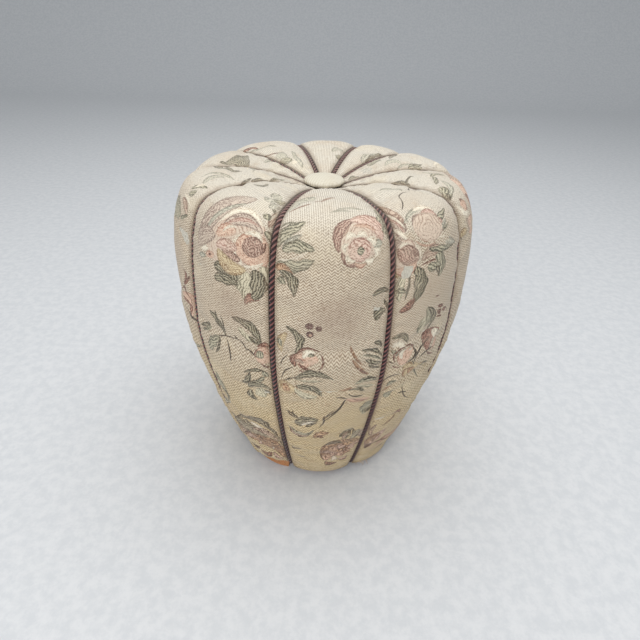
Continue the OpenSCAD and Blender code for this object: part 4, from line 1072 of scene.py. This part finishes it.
def piping(k):
    hem_r = seam_line(0.0)[0]
    tail_z = HEM_Z + CORD_R + GAP
    turn_r = hem_r - CORD_BEND
    low = [[(BLOCK_IN_R + hem_r) / 2, tail_z], [turn_r, tail_z]]
    low += [[turn_r + CORD_BEND * math.sin(x), tail_z + CORD_BEND * (1 - math.cos(x))]
            for x in np.linspace(0.15, 1.3, 7)]
    s = np.linspace(0, 3, 400)
    seam = seam_line(s)
    flat = np.concatenate([low, seam[(seam[:, 1] > tail_z + CORD_BEND) | (s > 1)]])
    path = polar(flat[:, 0], SEAMS[k], flat[:, 1])
    a = math.radians(SEAMS[k])
    thin = np.interp(np.arange(len(path)) / len(path), [0, 0.8, 1], [1, 1, 0.85]) * CORD_R
    pitch = np.interp(path[:, 2], [20, 250], [1.45, 1]) * CORD_PITCH
    made = twisted(f"cord_{k + 1:02}", path, thin, pitch, 0.8, [math.cos(a), math.sin(a), 0],
                   CORD, 20, turn=0.37 * k)
    finished(made, "cord", f"piping_cord_{k + 1:02}")


# The button

BUTTON_R, BUTTON_H, BUTTON_SIDES = 26.5, 10.0, 96


def button():
    rim, foot = 0.35 * BUTTON_H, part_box("button")[0].z / MM
    profile = [[BUTTON_R * math.cos(a), rim + (BUTTON_H - rim) * math.sin(a)]
               for a in np.linspace(np.pi / 2, 0, 18)[1:]]
    profile += [[BUTTON_R - rim + rim * math.cos(a), rim + rim * math.sin(a)]
                for a in np.linspace(0, -np.pi / 3, 5)[1:]]
    profile += [[r, 0.0] for r in (19.0, 12.0, 5.0)]
    n = BUTTON_SIDES
    around = 2 * np.pi * np.arange(n) / n
    rings = []
    for r, z in profile:
        share = r / BUTTON_R * (z > 0)
        pleat = np.sin(around * 17 + 0.8 * np.sin(3 * around)) * 0.35 * smooth((share - 0.8) / 0.2)
        dent = 0.5 * np.sin(2 * around + 1) * share**2 * (1 - share)
        rr = r + pleat - 0.4 * smooth((share - 0.8) / 0.2)
        rings.append(np.stack([rr * np.cos(around), rr * np.sin(around), foot + z + dent], -1))
    points = np.concatenate([[[0, 0, foot + BUTTON_H]], *rings, [[0, 0, foot]]])
    last, end = 1 + (len(rings) - 1) * n, len(points) - 1
    faces = [[0, 1 + i, 1 + (i + 1) % n] for i in range(n)]
    faces += (1 + wrapped_quads(len(rings), n)[:, [0, 3, 2, 1]]).tolist()
    faces += [[last + i, end, last + (i + 1) % n] for i in range(n)]
    made = new_object("seat_button", points, faces, BUTTON_CLOTH)
    x, y, z = points.T
    turn = math.radians(12)
    add_uv(made.data, np.stack([x * math.cos(turn) + y * math.sin(turn),
                                y * math.cos(turn) - x * math.sin(turn) - z], -1))
    finished(made, "button_cloth", "button")


# Inside: webbing, hessians, twines, hair and the dust cover, and loose threads

TWINE_R, STRAP_HALF, STRAP_T, STRAP_PITCH, TIE_OFF = 1.2, 25.0, 1.3, 65.0, 8.0
SPRING_R, HESSIAN_T, WEBBING_LAP, SCRIM_DROP = 28.0, 1.5, 45.0, 2.8
RING_Z, RING_INSET, REACH_INSET = 250.0, 55.8, 10.8
TWINE_HOLE, STRAP_LIES, STRAP_MID, STRAP_RISE = 1.7, 1.4, 0.85, 0.8
RING_IN_R, REACH_R = wall_r(RING_Z) - RING_INSET, wall_r(RING_Z) - REACH_INSET
RING_TOP_R, SCRIM_R = wall_r(RING_TOP) - HESSIAN_T - GAP, CROWN_R + 8
SCRIM_Z = float(seat_bed(3.0)[1]) - SCRIM_DROP
TWINE_PITCH, KNOT_R, KNOT_Z, KNOT_H = 7.0, 2.3, 259.5, 5.2
WASHER_R, WASHER_HALF, WASHER_T = 6.7, 5.3, 1.5
LAP_FROM, LAP_TURN = 178, 364
DUST_LAP, DUST_SAG, TORN_BACK, TORN_DROP = 4.0, 1.6, 7.5, 2.2
GLIDE_R, GLIDE_HOLE_R, GLIDE_FLUTES = BLOCK_IN_R + 13.5, 10.5, (0, 2, 4, 6, 8)
THREAD_STEPS, THREAD_SIDES, THREAD_FLOOR = 9, 6, 0.7


def thin_sheet(name, grid, uv, thick, material, slot, node, flat, quads=None):
    """A sheet of cloth from the grid of its upper side, with its flat size."""
    quads = grid_quads(*grid.shape[:2]) if quads is None else quads
    points = listed(grid, grid - normals(grid) * thick)
    made = new_object(name, points, two_sided(quads, len(points) // 2), material)
    add_uv(made.data, np.tile(uv.reshape(-1, 2), (2, 1)))
    p = points[quads]
    area = np.linalg.norm(np.cross(p[:, 2] - p[:, 0], p[:, 3] - p[:, 1]), axis=1).sum() / 2
    declare_cut(area, flat)
    finished(made, slot, node)


def side_hessian():
    """Wraps the frame from the base board to the top ring; its end laps over its start at the back."""
    t, z = np.linspace(0, 1, 265)[None], np.linspace(BOARD_Z, RING_TOP, 34)[:, None]
    azimuth = LAP_FROM + LAP_TURN * t + 0 * z
    grid = polar(wall_r(z) - 1.0 + 0.9 * t, azimuth, z + 0 * t)
    grid = grid + normals(grid) * (waves(grid, 45, 3) * 0.05)[..., None]
    run = np.radians(azimuth) * WALL_HIGH
    uv = np.stack([run, z + 0 * run], -1)
    slant = math.hypot(RING_TOP - BOARD_Z, wall_r(RING_TOP) - wall_r(BOARD_Z))
    thin_sheet("side_hessian_wrap", grid, uv, 0.75, HESSIAN, "hessian", "side_hessian",
               (np.ptp(run), slant))


def strap(turned, i):
    """A strap of webbing that passes over and under the three that cross it, down to the top ring."""
    half = math.sqrt(REACH_R ** 2 - (abs(i) * STRAP_PITCH + STRAP_HALF) ** 2)
    a, b = (np.unique(np.r_[np.linspace(-reach, reach, n), -TWINE_HOLE, TWINE_HOLE])
            for reach, n in ((half, 75), (STRAP_HALF, 12)))
    b = b[::-1]
    low, sign = RING_TOP + STRAP_LIES, 1 - 2 * turned
    over = [low + STRAP_MID + STRAP_RISE * sign * (-1) ** ((i + j) % 2) for j in (-1, 0, 1)]
    edge = STRAP_PITCH - STRAP_HALF
    knots = [-edge - 60, -edge - 50, -edge, -STRAP_HALF, STRAP_HALF, edge, edge + 50, edge + 60]
    z = np.interp(a, knots, [low, over[0], over[0], over[1], over[1], over[2], over[2], low])
    for _ in range(2):
        z[1:-1] = (z[:-2] + 2 * z[1:-1] + z[2:]) / 4
    aa, bb = np.meshgrid(a, b, indexing="ij")
    across = bb + i * STRAP_PITCH
    x, y = (-across, aa) if turned else (aa, across)
    grid = np.stack([x, y, z[:, None] + 0.06 * np.sin(aa / 4 + bb / 7)], -1)
    quads = grid_quads(len(a), len(b))
    if i == 0:
        middle = np.stack([aa, bb], -1).reshape(-1, 2)[quads].mean(1)
        quads = quads[(np.abs(middle) > TWINE_HOLE - 0.1).any(1)]
    thin_sheet(f"webbing_strap_{turned * 3 + i + 2}", grid, np.stack([aa, bb], -1), STRAP_T, WEBBING,
               "webbing", "seat_webbing", (2 * STRAP_HALF, 2 * half), quads)


def spring_hessian():
    """Over the springs: up from the top ring to a flat top, with a hole for the button's twine."""
    low_r = RING_TOP_R - 2
    t = np.linspace(0, 1, 20)
    slope = np.stack([low_r + (SCRIM_R - low_r) * t, RING_TOP + (SCRIM_Z - RING_TOP) * t], -1)
    flat = np.stack([np.linspace(SCRIM_R, 2 * TWINE_R, 30)[1:], np.full(29, SCRIM_Z)], -1)
    profile = np.concatenate([slope, flat])
    profile[19] += (-0.5, -0.5)
    grid = polar(profile[:, :1], round_steps(144), profile[:, 1:])
    grid[..., 2] += -0.15 + 0.1 * waves(grid, 30, 5)
    cut = low_r + math.hypot(SCRIM_Z - RING_TOP, low_r - SCRIM_R) * 0.8
    thin_sheet("spring_cover", grid, grid[..., :2], 0.95, HESSIAN, "hessian", "spring_hessian",
               (2 * cut, 2 * cut), wrapped_quads(*grid.shape[:2]))


def hair_seat():
    """Curled hair between the spring hessian and the pads, as a ring round the button's twine."""
    low_z = RING_TOP + GAP
    corners = [[seat_bed(3.0)[0], SCRIM_Z + GAP], [SCRIM_R + GAP, SCRIM_Z + GAP],
               [RING_TOP_R - 2 + GAP, low_z], [wall_r(low_z), low_z]]
    parts = [np.linspace(a, b, n, endpoint=False) for a, b, n in zip(corners, corners[1:], (24, 24, 2))]
    profile = np.concatenate([*parts, corners[3:], seat_bed(np.linspace(1, 3, 70))])
    grid = polar(profile[:, :1], round_steps(200), profile[:, 1:])
    out = unit(np.cross(*(np.roll(grid, -1, axis) - np.roll(grid, 1, axis) for axis in (1, 0))))
    tufts = 0.55 + 0.3 * waves(grid, 22, 7) + 0.22 * waves(grid, 7, 8)
    grid = grid - out * np.clip(tufts, 0.05, 1.4)[..., None]
    made = new_object("hair_seat", listed(grid), wrapped_quads(*grid.shape[:2], closed=True), HAIR)
    finished(made, "hair", "seat_stuffing")


def rounded(path):
    """A path with its corners cut three times, and its ends kept."""
    for _ in range(3):
        a, b = path[:-1], path[1:]
        cut = np.stack([0.75 * a + 0.25 * b, 0.25 * a + 0.75 * b], 1).reshape(-1, 3)
        path = np.concatenate([path[:1], cut, path[-1:]])
    return path


def twine(name, path, step, ups, node):
    made = twisted(name, path, TWINE_R, TWINE_PITCH, step, ups, TWINE, 12, depth=0.3)
    finished(made, "twine", node)


def twines():
    """The ties over the springs, and the button's twine, knotted under a washer."""
    end_r, turn_r = RING_IN_R + WEBBING_LAP + 2 * TWINE_R, STRAP_PITCH + SPRING_R + 2 * TWINE_R
    upper = SCRIM_Z - HESSIAN_T - GAP - 2 * TWINE_R
    for i, z in enumerate((upper - GAP - TWINE_R, upper + TWINE_R)):
        route = np.array([[x, TIE_OFF, high] for x, high in (
            (-end_r, RING_TOP + 2 * TWINE_R), (-turn_r, z), (turn_r, z), (end_r, RING_TOP + 2 * TWINE_R))])
        if i:
            route = route[:, [1, 0, 2]] * (-1, 1, 1)
        twine(f"spring_tie_{i + 1}", rounded(route), 0.9, (0.3, 0.4, 1), "spring_ties")
    a = np.linspace(0, 4.4 * np.pi, 40)
    knot = np.stack([KNOT_R * np.cos(a), KNOT_R * np.sin(a), KNOT_Z + KNOT_H * a / a[-1]], -1)
    path = np.concatenate([[(14, -7, 252), (9, -3, 256)], knot, [(0, 0, 266.5)],
                           [(0, 0, z) for z in np.linspace(270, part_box("button")[0].z / MM, 20)]])
    twine("button_cord", path, 0.7, (1, 0.2, 0.1), "button_twine")
    turn = np.linspace(0, 2 * np.pi, 16, endpoint=False)[:, None]
    out, up = (np.sign(f) * np.abs(f) ** 0.4 for f in (np.cos(turn), np.sin(turn)))
    ring = polar(WASHER_R + WASHER_HALF * out, round_steps(48), RING_TOP - GAP - WASHER_T / 2 * (1 - up))
    washer = new_object("twine_washer", listed(ring), wrapped_quads(*ring.shape[:2], closed=True), WASHER)
    finished(washer, "twine", "button_twine")


def dust_cover():
    """Under the base: cut out round the glides, torn away from the loose block and sagging a little."""
    x, y = np.meshgrid(np.linspace(-1, 1, 81), np.linspace(-1, 1, 81))
    x, y = x * np.sqrt(1 - y * y / 2), y * np.sqrt(1 - x * x / 2)
    azimuth = np.degrees(np.arctan2(x, -y)) % 360
    torn = smooth((azimuth - SEAMS[WORN_FLUTE]) / 5) * smooth((SEAMS[0] + 360 - azimuth) / 5)
    ragged = 1.3 * np.sin(azimuth * 1.9) + 0.9 * np.sin(azimuth * 5.3 + 1)
    reach = BLOCK_IN_R + DUST_LAP + torn * (ragged - TORN_BACK)
    share = np.hypot(x, y)
    sag = DUST_SAG * (1 - share ** 2) + torn * TORN_DROP * smooth(share * 4 - 3)
    grid = np.stack([x * reach, y * reach, HEM_Z - 0.1 - sag], -1)
    for k in GLIDE_FLUTES:
        away = grid[..., :2] - polar(GLIDE_R, SEAMS[k] + width(k) / 2, 0.0)[:2]
        far = np.linalg.norm(away, axis=-1, keepdims=True)
        grid[..., :2] += np.where(far < GLIDE_HOLE_R, away / far * (GLIDE_HOLE_R - far), 0)
    cut = 2 * (BLOCK_IN_R + DUST_LAP)
    thin_sheet("dust_cloth", grid, grid[..., :2], 0.9, DUST_CLOTH, "dust_cloth", "dust_cover", (cut, cut))


def threads():
    """Frayed ends at the foot of the front right cord and along the worn hem."""
    rng = np.random.default_rng(5)
    points, faces, uv = [], [], []
    ends = [(SEAMS[1] + 2.2 + 0.9 * i, 3.0 + 2.2 * (i % 3), 5.5 + 2.5 * (i % 4), 0.5) for i in range(8)]
    for share in np.linspace(WORN_FROM + 0.05, 0.97, 26):
        ends.append((share, float(hem_length(WORN_FLUTE, np.array([share]))[0]), rng.uniform(1, 2.6), 0.28))
    for n, (place, up, length, radius) in enumerate(ends):
        k, share = (1, (place - SEAMS[1]) / width(1)) if place > 1 else (WORN_FLUTE, place)
        foot = flute_point(k, station(np.array([up])), np.array([share]), 0.6)[0]
        out = np.array([foot[0], foot[1], 0]) / math.hypot(foot[0], foot[1])
        side = np.cross((0, 0, 1), out) * rng.uniform(-0.3, 1.3)
        t = np.linspace(0, 1, THREAD_STEPS)[:, None]
        path = foot + t * length * (0.45 * out + 0.7 * side)
        path[:, 2] += (rng.uniform(-0.2, 0.35) * length * np.sin(4 * t) - 0.45 * length * t ** 2)[:, 0]
        path[:, 2] = np.maximum(path[:, 2], THREAD_FLOOR)
        thin = radius * np.linspace(1, 0.5, THREAD_STEPS)[:, None]
        made, quads = tube(path, thin, THREAD_SIDES, (0.3, 0.2, 1))
        faces += [[f + len(made) * n for f in face] for face in quads]
        points.append(made)
        uv.append([n * 2.3, 0] + made[:, [0, 2]] * 0.1)
    made = new_object("frayed_threads", listed(*points), faces, THREAD)
    add_uv(made.data, np.concatenate(uv))
    finished(made, "tapestry")


for k in FLUTES:
    cover(k)
    pad(k)
    piping(k)
button()
side_hessian()
for turned in (0, 1):
    for i in (-1, 0, 1):
        strap(turned, i)
spring_hessian()
hair_seat()
twines()
dust_cover()
threads()
for name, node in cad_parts.items():
    for starts, material in ((("base_block", "post", "base_board", "top_ring"), TIMBER),
                             ("spring_0", SPRING_STEEL), ("glides", GLIDE_STEEL)):
        if name.startswith(starts):
            node.data.materials.clear()
            node.data.materials.append(material)
